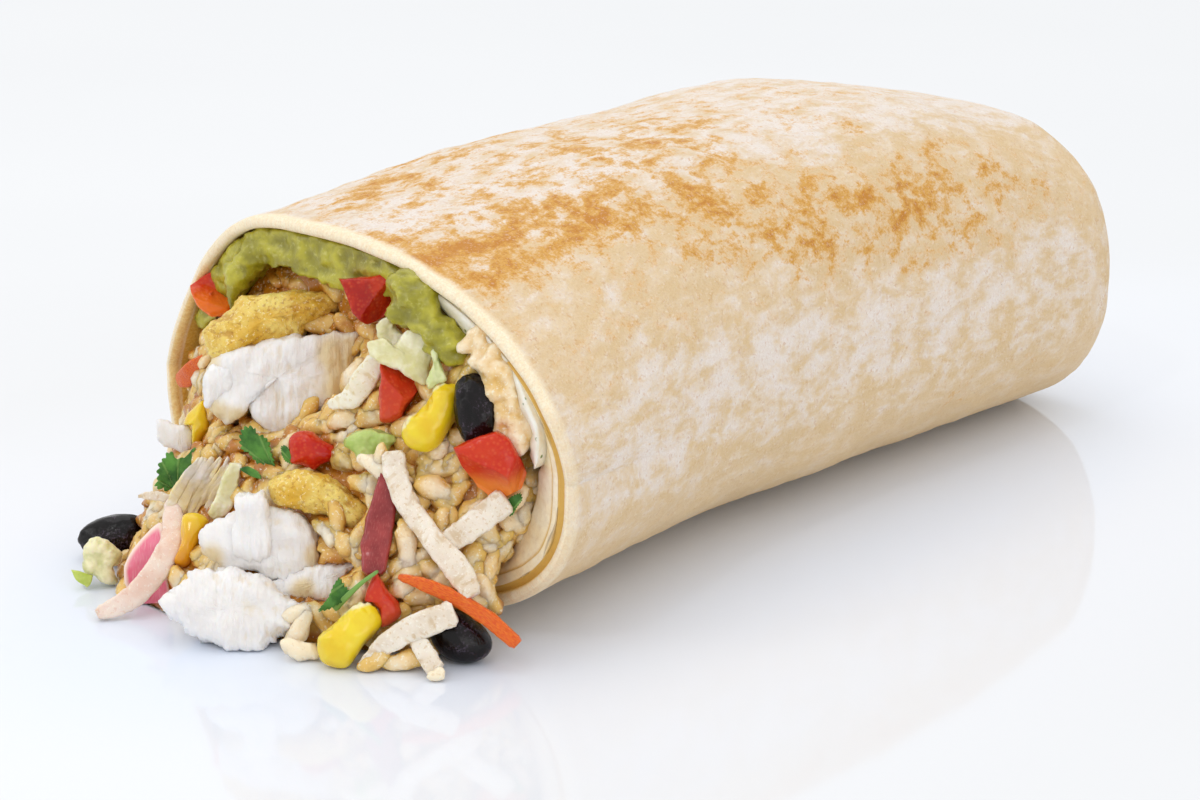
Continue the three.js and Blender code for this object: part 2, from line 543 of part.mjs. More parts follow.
// Each later piece gives way to the ones before it, so that all of them lie clear of each other.
// A piece is a list of simple solids, each of which keeps a shell of air.
const shells = [];
function settle(name, material, solids) {
  let free = solids.reduce((whole, solid) => whole.add(solid)).intersect(room);
  for (const shell of shells) {
    if (meet(free, shell)) free = free.subtract(shell);
  }
  shells.push(...solids.map((solid) => swollen(solid, CLEARANCE * 1.4)));
  return { name, material, solid: largestPart(free.asOriginal().simplify(FINENESS)) };
}

const settled = toppings.map(({ name, material, solid }) => settle(name, material, [solid]));
settled.push(settle('guacamole', MATERIALS.guacamole, guacamole));
settled.push(settle('cream_sauce', MATERIALS.cream, [cream]));

let rice = rollSolid(WALL + 2 * CLEARANCE, 4, 30, 7, 3).add(heapSolid());
const random = draws(RICE.seed);
const grains = [];
for (let i = 0; i < RICE.count; i++) {
  const x = -38 + 77 * random();
  const y = 1 - (1 + heapReach(x)) * random() ** 1.5;
  const step = 0.4;
  const slope = new THREE.Vector3(
    heapHeight(x - step, y) - heapHeight(x + step, y),
    heapHeight(x, y - step) - heapHeight(x, y + step),
    2 * step,
  ).normalize();
  const at = new THREE.Vector3(x, y, heapHeight(x, y) + 0.8).addScaledVector(slope, 0.3);
  const one = grain(at, slope, 2 * Math.PI * random(), random);
  const crossing = shells.some((shell) => meet(one, shell) && one.intersect(shell).volume() > 0.25 * one.volume());
  const crowded = grains.some((other) => other.distanceTo(at) < 0.8 * RICE.width);
  if (crossing || crowded) continue;
  grains.push(at);
  rice = rice.add(one);
}
settled.push(settle('rice_filling', MATERIALS.rice, [rice]));
settled.push({ name: 'tortilla', material: MATERIALS.tortilla, solid: tortilla });

// ---------------------------------------------------------------- the whole burrito
const burrito = new THREE.Group();
for (const { name, material, solid } of settled) {
  const mesh = new THREE.Mesh(geometryOf(solid), material);
  mesh.name = name;
  burrito.add(mesh);
}
burrito.position.set(-BASE_CENTRE.x, -BASE_CENTRE.y, 0);

export default burrito;
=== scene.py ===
import json
import math

import bmesh
import bpy
import numpy as np
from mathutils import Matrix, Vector, noise
from mathutils.bvhtree import BVHTree

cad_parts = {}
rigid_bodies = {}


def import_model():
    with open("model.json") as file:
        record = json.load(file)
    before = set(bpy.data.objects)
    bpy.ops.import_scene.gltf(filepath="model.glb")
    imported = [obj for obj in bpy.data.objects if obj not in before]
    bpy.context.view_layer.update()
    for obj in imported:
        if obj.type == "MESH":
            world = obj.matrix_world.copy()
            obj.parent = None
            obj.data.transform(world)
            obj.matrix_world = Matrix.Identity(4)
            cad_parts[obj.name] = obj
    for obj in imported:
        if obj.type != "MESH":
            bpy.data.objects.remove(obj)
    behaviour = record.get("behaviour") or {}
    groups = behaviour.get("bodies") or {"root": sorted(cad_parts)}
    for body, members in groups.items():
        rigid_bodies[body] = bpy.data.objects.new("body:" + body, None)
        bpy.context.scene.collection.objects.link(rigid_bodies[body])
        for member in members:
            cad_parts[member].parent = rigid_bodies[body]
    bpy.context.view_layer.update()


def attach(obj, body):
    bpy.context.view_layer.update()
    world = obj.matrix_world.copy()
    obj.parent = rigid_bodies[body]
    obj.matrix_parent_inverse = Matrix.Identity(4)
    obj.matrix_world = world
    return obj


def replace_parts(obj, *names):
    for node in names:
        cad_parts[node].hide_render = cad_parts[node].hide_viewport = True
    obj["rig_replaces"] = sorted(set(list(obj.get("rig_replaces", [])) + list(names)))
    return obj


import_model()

# ---------------------------------------------------------------- table, light and camera
# The burrito lies on a plain glossy white table under one broad soft lamp, with paler fills in front
# of the open end and beside the roll.


def tone(red, green, blue):
    """A colour given in screen values from 0 to 255, as a shader wants it."""
    shares = [value / 255 for value in (red, green, blue)]
    linear = [s / 12.92 if s <= 0.04045 else ((s + 0.055) / 1.055) ** 2.4 for s in shares]
    return (*linear, 1.0)


def node(tree, kind, sockets=None, **settings):
    """Adds a node. Each socket is given a plain value or the output that feeds it."""
    made = tree.nodes.new(kind)
    for key, value in settings.items():
        setattr(made, key, value)
    for key, value in (sockets or {}).items():
        if isinstance(value, bpy.types.NodeSocket):
            tree.links.new(value, made.inputs[key])
        else:
            made.inputs[key].default_value = value
    return made


def new_finish(name, **shader_values):
    """An empty material with its shader: returns the material, its node tree and the shader."""
    made = bpy.data.materials.new(name)
    made.use_nodes = True
    tree = made.node_tree
    tree.nodes.clear()
    shader = node(tree, "ShaderNodeBsdfPrincipled", shader_values)
    node(tree, "ShaderNodeOutputMaterial", {"Surface": shader.outputs["BSDF"]})
    return made, tree, shader


def grain_noise(tree, where, scale, detail=3.0, roughness=0.55, distortion=0.0):
    made = node(tree, "ShaderNodeTexNoise", {
        "Vector": where, "Scale": scale, "Detail": detail, "Roughness": roughness, "Distortion": distortion,
    })
    return made.outputs["Fac"]


def ranged(tree, value, low, high, to_low=0.0, to_high=1.0):
    made = node(tree, "ShaderNodeMapRange", {
        "Value": value, "From Min": low, "From Max": high, "To Min": to_low, "To Max": to_high,
    }, interpolation_type="SMOOTHSTEP")
    return made.outputs["Result"]


def mixed(tree, amount, under, over):
    made = node(tree, "ShaderNodeMix", {0: amount, 6: under, 7: over}, data_type="RGBA")
    return made.outputs[2]


def object_place(tree):
    return node(tree, "ShaderNodeTexCoord").outputs["Object"]


table_finish, tree, shader = new_finish("table_gloss_white", Roughness=0.06, IOR=1.4)
cloudy = ranged(tree, grain_noise(tree, object_place(tree), 3.0), 0.3, 0.7)
# Around the roll the table is painted lighter and bluer, and bluer still close to it: painted light that
# lifts the roll's shadow and cools the warm light the roll bounces onto the table.
flattened = node(
    tree, "ShaderNodeMapping", {"Vector": object_place(tree), "Scale": (18.0, 9.0, 0.0)}
).outputs["Vector"]
away = node(tree, "ShaderNodeVectorMath", {0: flattened}, operation="LENGTH").outputs["Value"]
colour = mixed(tree, cloudy, tone(228, 229, 231), tone(231, 232, 234))
colour = mixed(tree, ranged(tree, away, 2.2, 0.8), colour, tone(236, 239, 246))
tree.links.new(
    mixed(tree, ranged(tree, away, 1.3, 0.75), colour, tone(228, 236, 250)), shader.inputs["Base Color"]
)
bpy.ops.mesh.primitive_plane_add(size=8, location=(0, 0, -0.0002))
table = bpy.context.active_object
table.name = "table"
table.data.materials.append(table_finish)

world = bpy.data.worlds.new("soft_room")
world.use_nodes = True
world.node_tree.nodes["Background"].inputs["Color"].default_value = (0.98, 0.99, 1.0, 1.0)
world.node_tree.nodes["Background"].inputs["Strength"].default_value = 1.0
bpy.context.scene.world = world


def soft_lamp(name, place, aim, size, power):
    data = bpy.data.lights.new(name, "AREA")
    data.shape = "RECTANGLE"
    data.size, data.size_y = size
    data.energy = power
    lamp = bpy.data.objects.new(name, data)
    bpy.context.scene.collection.objects.link(lamp)
    lamp.location = place
    lamp.rotation_euler = (Vector(aim) - Vector(place)).to_track_quat("-Z", "Y").to_euler()
    return lamp


soft_lamp("lamp_above", (-0.2, 0.1, 0.75), (0, 0.02, 0.02), (0.6, 0.6), 0.86)
soft_lamp("lamp_front", (-0.35, -0.68, 0.42), (0, -0.06, 0.03), (0.3, 0.3), 0.55)
soft_lamp("lamp_low", (0.6, -0.2, 0.12), (0.02, 0.0, 0.01), (0.5, 0.2), 0.42)
soft_lamp("lamp_sparkle", (0.1, -0.5, 0.62), (0, -0.03, 0.03), (0.05, 0.05), 0.22)

camera = bpy.data.objects.new("camera", bpy.data.cameras.new("camera"))
bpy.context.scene.collection.objects.link(camera)
camera.data.sensor_width = 36
camera.data.lens = 78.8
camera.data.clip_start = 0.01
camera.location = (0.2805, -0.2971, 0.1346)
camera.rotation_euler = (
    Vector((0.0414, -0.0506, 0.0341)) - camera.location
).to_track_quat("-Z", "Y").to_euler()
bpy.context.scene.camera = camera
bpy.context.scene.view_settings.view_transform = "Standard"

# ---------------------------------------------------------------- tortilla
# One soft flour tortilla, about 2 mm thick, griddled until its upper side is mottled gold and brown,
# then rolled and tucked shut. The dough is cream, dusted with flour, and its cut lip is paler.
LENGTH = 156.0
WALL = 1.9
STATIONS = {
    "at": (0.0, 0.3, 0.65, 1.0),
    "left": (33.4, 32.4, 38.5, 30.4), "right": (56.1, 42.9, 40.0, 38.8),
    "crown": (-11.6, -8.6, -8.6, -8.6), "top": (52.6, 57.9, 59.8, 52.0), "belly": (24.8, 21.6, 21.6, 21.6),
    "shoulder_left": (1.04, 1.4, 1.4, 1.4), "shoulder_right": (1.6, 2.44, 2.44, 2.44),
    "foot": (2.86, 2.1, 2.1, 2.1), "side": (2.69, 3.13, 3.13, 3.13),
}
END_ROUNDING = 15.0
END_SQUARENESS = 4.9
BASE_CENTRE = (-1.1, 60.5)


def eased(key, share):
    """One measure of the cross-section at that share of the length, by a curve that doesn't overshoot."""
    at, values = np.array(STATIONS["at"]), np.array(STATIONS[key])
    rise = np.diff(values) / np.diff(at)
    slope = np.zeros(len(at))
    slope[0], slope[-1] = rise[0], rise[-1]
    for k in range(1, len(at) - 1):
        before, after = rise[k - 1], rise[k]
        slope[k] = 2 * before * after / (before + after) if before * after > 0 else 0.0
    i = np.clip(np.searchsorted(at, share, side="right") - 1, 0, len(at) - 2)
    span = at[i + 1] - at[i]
    f = (share - at[i]) / span
    pull = f * (1 - f) * span * ((1 - f) * slope[i] - f * slope[i + 1])
    return values[i] + (values[i + 1] - values[i]) * f * f * (3 - 2 * f) + pull


def roll_point(angle, along, inset):
    """Points of the roll's skin in millimetres, inset inwards. Angle 0 is the right side, a quarter
    turn the crown."""
    angle, along, inset = np.broadcast_arrays(angle, along, inset)
    m = {key: eased(key, np.clip(along / LENGTH, 0, 1)) for key in STATIONS if key != "at"}
    c, s = np.cos(angle), np.sin(angle)
    reach = np.where(c > 0, m["right"], m["left"]) - inset
    x = m["crown"] + reach * np.sign(c) * np.abs(c) ** (2 / m["side"])
    shoulder = m["shoulder_left"] + (m["shoulder_right"] - m["shoulder_left"]) * (1 + c) / 2
    up = (m["top"] - inset - m["belly"]) * np.abs(s) ** (2 / shoulder)
    down = (m["belly"] + 1 - inset) * np.abs(s) ** (2 / m["foot"])
    z = np.where(s > 0, m["belly"] + up, np.maximum(m["belly"] - down, np.maximum(inset, 0.02)))
    q = np.clip((along - (LENGTH - END_ROUNDING)) / (END_ROUNDING - inset), 0, 1)
    shrink = (1 - q**END_SQUARENESS) ** (1 / END_SQUARENESS)
    return np.stack(
        [m["crown"] + (x - m["crown"]) * shrink, along, m["belly"] + (z - m["belly"]) * shrink], -1
    )


def wavering(points, size, octaves):
    """Smooth unevenness at each point, about -1 to 1, in lumps of that size in millimetres."""
    flat = np.asarray(points, float).reshape(-1, 3) / size
    values = [noise.fractal(p, 0.7, 2.1, octaves, noise_basis="PERLIN_ORIGINAL") for p in flat.tolist()]
    return np.array(values).reshape(np.asarray(points).shape[:-1])


def worked(tree, operation, first, second, clamp=False):
    made = node(tree, "ShaderNodeMath", {0: first, 1: second}, operation=operation, use_clamp=clamp)
    return made.outputs["Value"]


def dented(tree, shader, height, distance, strength, before=None):
    """Feeds the shader a bump of that height in metres. before is a coarser bump under it."""
    sockets = {"Height": height, "Distance": distance, "Strength": strength}
    if before is not None:
        sockets["Normal"] = before.outputs["Normal"]
    made = node(tree, "ShaderNodeBump", sockets)
    tree.links.new(made.outputs["Normal"], shader.inputs["Normal"])
    return made


def speckled(tree, colour, where, scale, amount, over, low=0.6):
    """The colour with fine sharp specks of another over it: grain in the food, and painted glints on the rice
    and the beans.
    """
    specks = ranged(tree, grain_noise(tree, where, scale, 2.0, 0.5), low, low + 0.07, 0.0, amount)
    return mixed(tree, specks, colour, over)


def attribute(tree, name):
    return node(tree, "ShaderNodeAttribute", attribute_name=name, attribute_type="GEOMETRY").outputs["Fac"]


def piece(name, points, faces, finish, flat=None, **amounts):
    """A closed mesh from points in millimetres from the middle of the rim. flat gives its UV map, point
    by point, and amounts are further values at the points that its material reads."""
    points = np.asarray(points, float).reshape(-1, 3)
    base = np.array([BASE_CENTRE[0], BASE_CENTRE[1], 0.0])
    mesh = bpy.data.meshes.new(name)
    mesh.from_pydata(((points - base) / 1000).tolist(), [], faces)
    mesh.materials.append(finish)
    mesh.shade_smooth()
    corners = np.zeros(len(mesh.loops), np.int32)
    mesh.loops.foreach_get("vertex_index", corners)
    if flat is not None:
        layer = mesh.uv_layers.new(name="flat")
        layer.data.foreach_set("uv", np.asarray(flat, float).reshape(-1, 2)[corners].ravel())
    for key, values in amounts.items():
        made = mesh.attributes.new(key, "FLOAT", "POINT")
        made.data.foreach_set("value", np.asarray(values, np.float32).ravel())
    made = bpy.data.objects.new(name, mesh)
    bpy.context.scene.collection.objects.link(made)
    return made


def tube_faces(rings, around):
    """Faces of a closed tube of rings, each of that many points, with one more point at each end."""
    faces = []
    for r in range(rings - 1):
        for a in range(around):
            b = (a + 1) % around
            faces.append((r * around + a, r * around + b, (r + 1) * around + b, (r + 1) * around + a))
    first, last = rings * around, rings * around + 1
    for a in range(around):
        b = (a + 1) % around
        faces.append((first, b, a))
        faces.append((last, (rings - 1) * around + a, (rings - 1) * around + b))
    return faces


AROUND = 264
turn = np.linspace(-math.pi, math.pi, AROUND, endpoint=False)
end_stops = [
    LENGTH - END_ROUNDING * (1 - math.sin(q) ** (2 / END_SQUARENESS)) for q in np.linspace(1.54, 0.1, 40)
]
body_stops = np.linspace(LENGTH - END_ROUNDING, 1.0, 200)
lip_turns = np.linspace(0.12, math.pi - 0.12, 9)
inner_stops = np.concatenate([np.linspace(1.0, 12, 24), np.linspace(14, LENGTH - END_ROUNDING, 26)])
inner_end = [
    LENGTH - END_ROUNDING + (END_ROUNDING - WALL) * math.sin(q) ** (2 / END_SQUARENESS)
    for q in np.linspace(0.4, 1.5, 8)
]
lip_y = 0.95 - 0.95 * np.sin(lip_turns)
lip_inset = WALL / 2 * (1 - np.cos(lip_turns))
closing = np.linspace(0.07, 0.9, 10)
stops = np.concatenate(
    [np.full(len(closing), end_stops[0]), end_stops, body_stops, lip_y, inner_stops, inner_end]
)
skin_rings = len(closing) + len(end_stops) + len(body_stops)
insets = np.concatenate([np.zeros(skin_rings), lip_inset, np.full(len(inner_stops) + len(inner_end), WALL)])
outside = 1 - np.clip(insets / WALL, 0, 1)
grid_turn, grid_stop = np.meshgrid(turn, stops)
grid_inset = np.repeat(insets[:, None], AROUND, 1)
grid_out = np.repeat(outside[:, None], AROUND, 1)
lip_or_lining = np.concatenate([np.ones(skin_rings - 3), [0.9, 0.75, 0.6], np.full(len(lip_y), 0.45),
                                np.clip(0.45 - (inner_stops - 1.0) / 2, 0, 1), np.zeros(len(inner_end))])
wet_side = np.interp(grid_turn, [-1.3, -1.0, 0.4, 0.7], [0, 1, 1, 0]) * (grid_stop < 1.2)
lip_or_lining = np.repeat(lip_or_lining[:, None], AROUND, 1)
lip_or_lining = np.where(
    (grid_inset < 0.45 * WALL) & (wet_side > 0), np.maximum(lip_or_lining, 0.72 * wet_side), lip_or_lining
)
wet_half = np.maximum(wet_side, np.interp(np.abs(grid_turn), [1.95, 2.3], [0, 0.9]) * (grid_stop < 1.2))
wet_from = 0.45 + 0.27 * (wet_side > 0)
lip_or_lining = lip_or_lining * (1 - 0.8 * wet_half * np.clip((grid_inset / WALL - wet_from) / 0.25, 0, 1))
end_middle = np.array([eased("crown", np.array([1.0]))[0], 0.0, eased("belly", np.array([1.0]))[0]])


def closed(rings):
    """Draws the first rings in to the middle of the far end."""
    for ring, share in zip(rings[:len(closing)], closing):
        ring[:, [0, 2]] = end_middle[[0, 2]] + (ring[:, [0, 2]] - end_middle[[0, 2]]) * share
    return rings


plain = closed(roll_point(grid_turn, grid_stop, grid_inset))

# Lengths round the roll, so that a pattern on the skin has the same scale both ways.
ring = roll_point(turn, 60.0, 0.0)
steps = np.linalg.norm(np.diff(np.vstack([ring, ring[:1]]), axis=0), axis=1)
girth = np.concatenate([[0], np.cumsum(steps)[:-1]])
skin_uv = np.stack([np.repeat(girth[None, :], len(stops), 0), grid_stop], -1) / 10

streaks = np.stack([np.repeat(girth[None, :], len(stops), 0) * 0.3, grid_stop, np.zeros_like(grid_stop)], -1)
swell = 0.5 * wavering(plain, 30, 2) + 0.22 * wavering(plain + 40, 11, 2)
wrinkles = 0.14 * wavering(streaks, 4.2, 3)
blisters = 0.16 * np.clip(wavering(plain + 90, 3.6, 2), 0, 1)
across = (plain[..., 0] + 8.6) / 30
height = (plain[..., 2] - 24) / 22
tuck = np.clip((grid_stop - (LENGTH - 9)) / 9, 0, 1)
flap = (
    np.tanh((across + 0.35 * np.sin(2.6 * height + 0.4)) * 14) * 0.75
    + 0.5 * np.tanh((height - 0.5 + 0.3 * across) * 12)
)
from_pole = np.hypot(across, height)
pleats = (
    0.5 * np.sin(7 * np.arctan2(height, across) + 2.2 * from_pole) * np.clip(1.2 - from_pole, 0, 1)
    * np.clip(from_pole / 0.4, 0, 1) ** 2
)
relief = (swell + wrinkles + blisters) * np.clip((grid_stop + 4) / 14, 0.25, 1)
relief = relief * np.clip(grid_out * 1.0 + 0.15, 0, 1)
foot_calm = np.clip((plain[..., 2] - 0.6) / 5, 0, 1)
at_end = np.clip((grid_stop - (LENGTH - 8)) / 6, 0, 1)
skin = closed(roll_point(grid_turn, grid_stop, grid_inset - relief * foot_calm * (1 - at_end)))
skin[..., 1] += 0.6 * relief * at_end * grid_out
skin[..., 1] += tuck**3 * (flap + pleats) * 0.8 * grid_out - 3.4 * tuck * (1 - grid_out)
skin[..., 1] += 0.35 * wavering(plain + 15, 9, 2) * (grid_stop < 3) * (1 - tuck)


skin_degrees = np.degrees(grid_turn)


def patch(where_turn, where_stop, round_by, along_by):
    """A soft-edged patch on the skin: 1 at its middle, 0 outside. Turns are in degrees."""
    away = ((skin_degrees - where_turn) / round_by) ** 2 + ((grid_stop - where_stop) / along_by) ** 2
    return np.exp(-away)


def smooth_step(share):
    share = np.clip(share, 0, 1)
    return share * share * (3 - 2 * share)


band_turn = np.interp(grid_stop, [0, 20, 50, 80, 110, 156], [66, 66, 58, 42, 38, 36])
band_width = np.interp(grid_stop, [0, 40, 80, 156], [15, 17, 18, 16])
band = np.exp(-(((skin_degrees - band_turn) / band_width) ** 2))
crown_band = 0.46 * np.exp(-(((skin_degrees - 92) / 26) ** 2))
toast = (
    0.46 * np.maximum(band, crown_band)
    * np.interp(grid_stop, [0, 60, 110, 135, 156], [1, 1, 0.85, 0.5, 0.25])
)
crown_haze = np.exp(-(((skin_degrees - 76) / 17) ** 2) - ((grid_stop - 40) / 36) ** 2)
side_haze = (
    np.exp(-(((skin_degrees - 30) / 15) ** 2))
    * np.interp(grid_stop, [0, 10, 90, 130], [1, 1, 0.8, 0])
)
toast += 0.14 * crown_haze + 0.13 * side_haze
# Where the griddle browned the skin most: degrees round the roll, mm along it, strength. 30 of the places
# are a separate measuring program's printout, 7 of them changed by one unit. The rest is set one by one.
TOASTED_ROUND, TOASTED_ALONG = 3.6, 4.5
for where_turn, where_stop, strength in (
    (80, 60, 0.3), (84, 72, 0.25), (74, 52, 0.2), (76, 92, 0.25), (66, 98, 0.25), (58, 12, 0.5),
    (70, 8, 0.35), (64, 33, 0.5), (72, 26, 0.3), (60, 6, 0.4), (68, 3, 0.3), (78, 4, 0.25), (91, 22, 0.3),
    (46, 45, 0.3), (82, 56, 0.25), (57, 50, 0.25), (66, 15, 0.35), (60, 22, 0.35), (61, 28, 0.3),
    (40, 61, 0.35), (33, 71, 0.5), (34, 95, 0.45), (42, 101, 0.35), (43, 122, 0.4), (37, 104, 0.2),
    (52, 113, 0.25), (42, 84, 0.3), (69, 63, 0.25), (76, 66, 0.2), (53, 58, 0.25), (38, 47, 0.25),
    (28, 66, 0.25), (20, 102, 0.15), (18, 92, 0.15), (24, 110, 0.2), (98, 20, 0.4), (102, 30, 0.35),
    (96, 38, 0.35), (100, 48, 0.25), (92, 13, 0.3), (86, 46, 0.25), (84, 34, 0.2), (88, 70, 0.2)
):
    toast += strength * patch(where_turn, where_stop, TOASTED_ROUND, TOASTED_ALONG)
side_band = np.exp(-(((skin_degrees - 7) / 18) ** 2))
beyond = smooth_step((skin_degrees - 104) / 16)
pale = (
    0.34 * side_band + 0.05
    + (0.6 - 0.33 * beyond) * smooth_step((skin_degrees - 50) / 25) * smooth_step(
        (178 - skin_degrees) / 50
    )
)
hidden = np.maximum(beyond, smooth_step((-8 - skin_degrees) / 14))
toast += (
    0.5 * hidden * np.clip(wavering(plain + 60, 17, 2), 0, 1) * np.clip((plain[..., 2] - 2) / 14, 0.3, 1)
)
# Where flour lies palest, given the same way. All 35 places are that program's printout unchanged, and
# the strengths are set by hand.
PALE_ROUND, PALE_ALONG = 5, 4.5
for where_turn, where_stop, strength in (
    (77, 40, 0.5), (73, 24, 0.35), (84, 25, 0.3), (67, 28, 0.2), (82, 12, 0.4), (82, 5, 0.3),
    (53, 36, 0.25), (55, 8, 0.3), (42, 23, 0.35), (74, 86, 0.5), (60, 84, 0.4), (32, 60, 0.2),
    (12, 84, 0.35), (10, 102, 0.25), (6, 98, 0.25), (16, 136, 0.35), (20, 126, 0.3), (12, 114, 0.25),
    (14, 56, 0.35), (12, 64, 0.35), (6, 73, 0.25), (11, 50, 0.3), (4, 84, 0.25), (3, 60, 0.2),
    (15, 40, 0.25), (61, 108, 0.25), (2, 18, 0.3), (4, 11, 0.25), (1, 22, 0.25), (20, 26, 0.35),
    (18, 19, 0.25), (7, 42, 0.25), (4, 36, 0.2), (-2, 8, 0.2), (-3, 28, 0.15)
):
    pale += strength * patch(where_turn, where_stop, PALE_ROUND, PALE_ALONG)

tortilla_finish, tree, shader = new_finish(
    "tortilla_griddled",
    **{
        "Roughness": 0.6, "IOR": 1.4, "Subsurface Weight": 0.08, "Subsurface Radius": (1.0, 0.7, 0.4),
        "Subsurface Scale": 0.001
    }
)
uv = node(tree, "ShaderNodeUVMap", uv_map="flat").outputs["UV"]
here = object_place(tree)
drawn_out = node(tree, "ShaderNodeMapping", {"Vector": uv, "Scale": (1.3, 0.85, 1.0)}).outputs["Vector"]
across_grain = node(tree, "ShaderNodeMapping", {"Vector": uv, "Scale": (1.5, 0.75, 1.0)}).outputs["Vector"]
cap = attribute(tree, "cap")


def on_skin(where, scale, detail, roughness, distortion=0.0):
    """Noise laid over the skin's map, but over the tucked end, where the map is gathered, in the solid."""
    mapped = grain_noise(tree, where, scale, detail, roughness, distortion)
    solid = grain_noise(tree, here, scale * 100, detail, roughness, distortion)
    return node(tree, "ShaderNodeMix", {0: cap, 2: mapped, 3: solid}, data_type="FLOAT").outputs[0]


patches = on_skin(drawn_out, 1.9, 6.0, 0.68, 0.3)
mottles = on_skin(drawn_out, 6.0, 5.0, 0.7)
fine = on_skin(uv, 16.0, 4.0, 0.7)
clouds = on_skin(across_grain, 2.1, 6.0, 0.62, 0.3)
stipple = grain_noise(tree, here, 3200.0, 2.0, 0.6)


def summed(tree, start, *parts):
    """start plus each noise, centred on zero, times its weight."""
    total = start
    for value, weight in parts:
        centred = worked(tree, "MULTIPLY", worked(tree, "SUBTRACT", value, 0.5), weight)
        total = worked(tree, "ADD", total, centred)
    return total


dough = mixed(tree, ranged(tree, clouds, 0.36, 0.62), tone(222, 194, 150), tone(228, 204, 168))
pale_here = summed(tree, attribute(tree, "pale"), (clouds, 2.6), (mottles, 1.1), (stipple, 0.7))
colour = mixed(tree, ranged(tree, pale_here, 0.0, 0.95, 0.0, 0.92), dough, tone(236, 227, 220))
griddled = ranged(tree, attribute(tree, "toast"), 0.0, 0.35, 0.45, 1.0)
uneven = summed(tree, 0.0, (patches, 3.4), (mottles, 1.7), (stipple, 0.6))
toast_here = worked(tree, "ADD", attribute(tree, "toast"), worked(tree, "MULTIPLY", uneven, griddled))
colour = mixed(tree, ranged(tree, toast_here, 0.14, 0.56, 0.0, 0.85), colour, tone(227, 189, 137))
colour = mixed(tree, ranged(tree, toast_here, 0.4, 0.76, 0.0, 0.9), colour, tone(214, 157, 58))
colour = mixed(tree, ranged(tree, toast_here, 0.72, 1.15, 0.0, 0.9), colour, tone(194, 124, 24))
grainy = ranged(tree, mottles, 0.4, 0.65)
colour = speckled(
    tree, colour, here, 2100.0, worked(tree, "MULTIPLY", grainy, 0.3), tone(250, 242, 232), 0.55
)
colour = speckled(
    tree, colour, here, 1700.0, worked(tree, "MULTIPLY", grainy, 0.4), tone(196, 140, 80), 0.56
)
# Painted light: the lowest 20 mm of the roll is painted lighter and warmer, standing in for light the bright
# table bounces onto its underside.
under = ranged(tree, node(tree, "ShaderNodeSeparateXYZ", {0: here}).outputs["Z"], 0.0, 0.02)
colour = mixed(
    tree, worked(tree, "MULTIPLY", worked(tree, "SUBTRACT", 1.0, under, True), 0.7), colour,
    tone(240, 206, 154)
)
inside = worked(tree, "SUBTRACT", 1.0, attribute(tree, "outside"), True)
lip = mixed(tree, ranged(tree, fine, 0.35, 0.65), tone(250, 230, 194), tone(252, 241, 214))
colour = mixed(tree, ranged(tree, inside, 0.1, 0.45), colour, lip)
lining = mixed(tree, ranged(tree, fine, 0.35, 0.65), tone(230, 184, 66), tone(244, 210, 114))
colour = mixed(tree, ranged(tree, inside, 0.7, 0.98), colour, lining)
colour = mixed(tree, ranged(tree, stipple, 0.35, 0.75, 0.0, 0.2), colour, tone(190, 146, 100))
holes = node(tree, "ShaderNodeTexVoronoi", {"Vector": uv, "Scale": 3.4, "Randomness": 1.0})
dots = worked(
    tree, "MULTIPLY", ranged(tree, holes.outputs["Distance"], 0.05, 0.02), ranged(tree, clouds, 0.46, 0.52)
)
colour = mixed(tree, worked(tree, "MULTIPLY", dots, 0.6), colour, tone(128, 98, 74))
tree.links.new(colour, shader.inputs["Base Color"])
coarse = dented(tree, shader, mottles, 0.0005, 0.5)
middling = dented(tree, shader, fine, 0.00025, 0.5, coarse)
dented(tree, shader, stipple, 0.0001, 0.5, middling)

poles = end_middle + [[0, skin[0, :, 1].mean(), 0], [0, LENGTH - WALL - 2.7, 0]]
tortilla = piece(
    "tortilla_roll", np.vstack([skin.reshape(-1, 3), poles]), tube_faces(len(stops), AROUND),
    tortilla_finish, np.vstack([skin_uv.reshape(-1, 2), [[0, LENGTH / 10], [0, LENGTH / 10]]]),
    toast=np.append(toast.ravel(), [0, 0]), pale=np.append(pale.ravel(), [0.2, 0]),
    outside=np.append(lip_or_lining.ravel(), [1, 0]),
    cap=np.append(smooth_step((grid_stop - (LENGTH - 15)) / 7).ravel(), [1, 1])
)
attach(tortilla, "root")
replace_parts(tortilla, "tortilla")

# The sheet's inner end lies inside the right wall as a second ply. A dark groove parts it from the outer
# ply at the mouth, and behind that it thickens into the soft fold that narrows the pocket.
PLY_FROM, PLY_TO, PLY_MOUTH, PLY_BACK = -1.35, 0.72, 0.7, 130.0
PLY_GROOVE, PLY_GROOVE_DEPTH, PLY_THICKNESS = 0.3, 1.5, 1.5
PLY_FOLD, PLY_FOLD_DEPTH = 5.0, 2.2
PLY_TURNS = (-1.35, -1.05, -0.85, -0.65, -0.45, -0.2, 0.0, 0.2, 0.4, 0.56, 0.72)
PLY_FULLNESS = (0.0, 0.05, 0.25, 0.65, 0.9, 1.0, 1.0, 0.6, 0.15, 0.0, 0.0)


def smooth(value, low, high):
    return smooth_step((value - low) / (high - low))


def sheet_faces(columns, rows):
    """Faces of a closed sheet: its two sides, each of rows + 1 by columns + 1 points, and the rim between."""
    faces, half = [], (rows + 1) * (columns + 1)
    for r in range(rows):
        for c in range(columns):
            a = r * (columns + 1) + c
            faces.append((a, a + 1, a + columns + 2, a + columns + 1))
            faces.append((half + a, half + a + columns + 1, half + a + columns + 2, half + a + 1))
    rim = [c for c in range(columns)] + [r * (columns + 1) + columns for r in range(rows)]
    rim += (
        [rows * (columns + 1) + c for c in range(columns, 0, -1)]
        + [r * (columns + 1) for r in range(rows, 0, -1)]
    )
    for a, b in zip(rim, rim[1:] + rim[:1]):
        faces.append((b, a, half + a, half + b))
    return faces


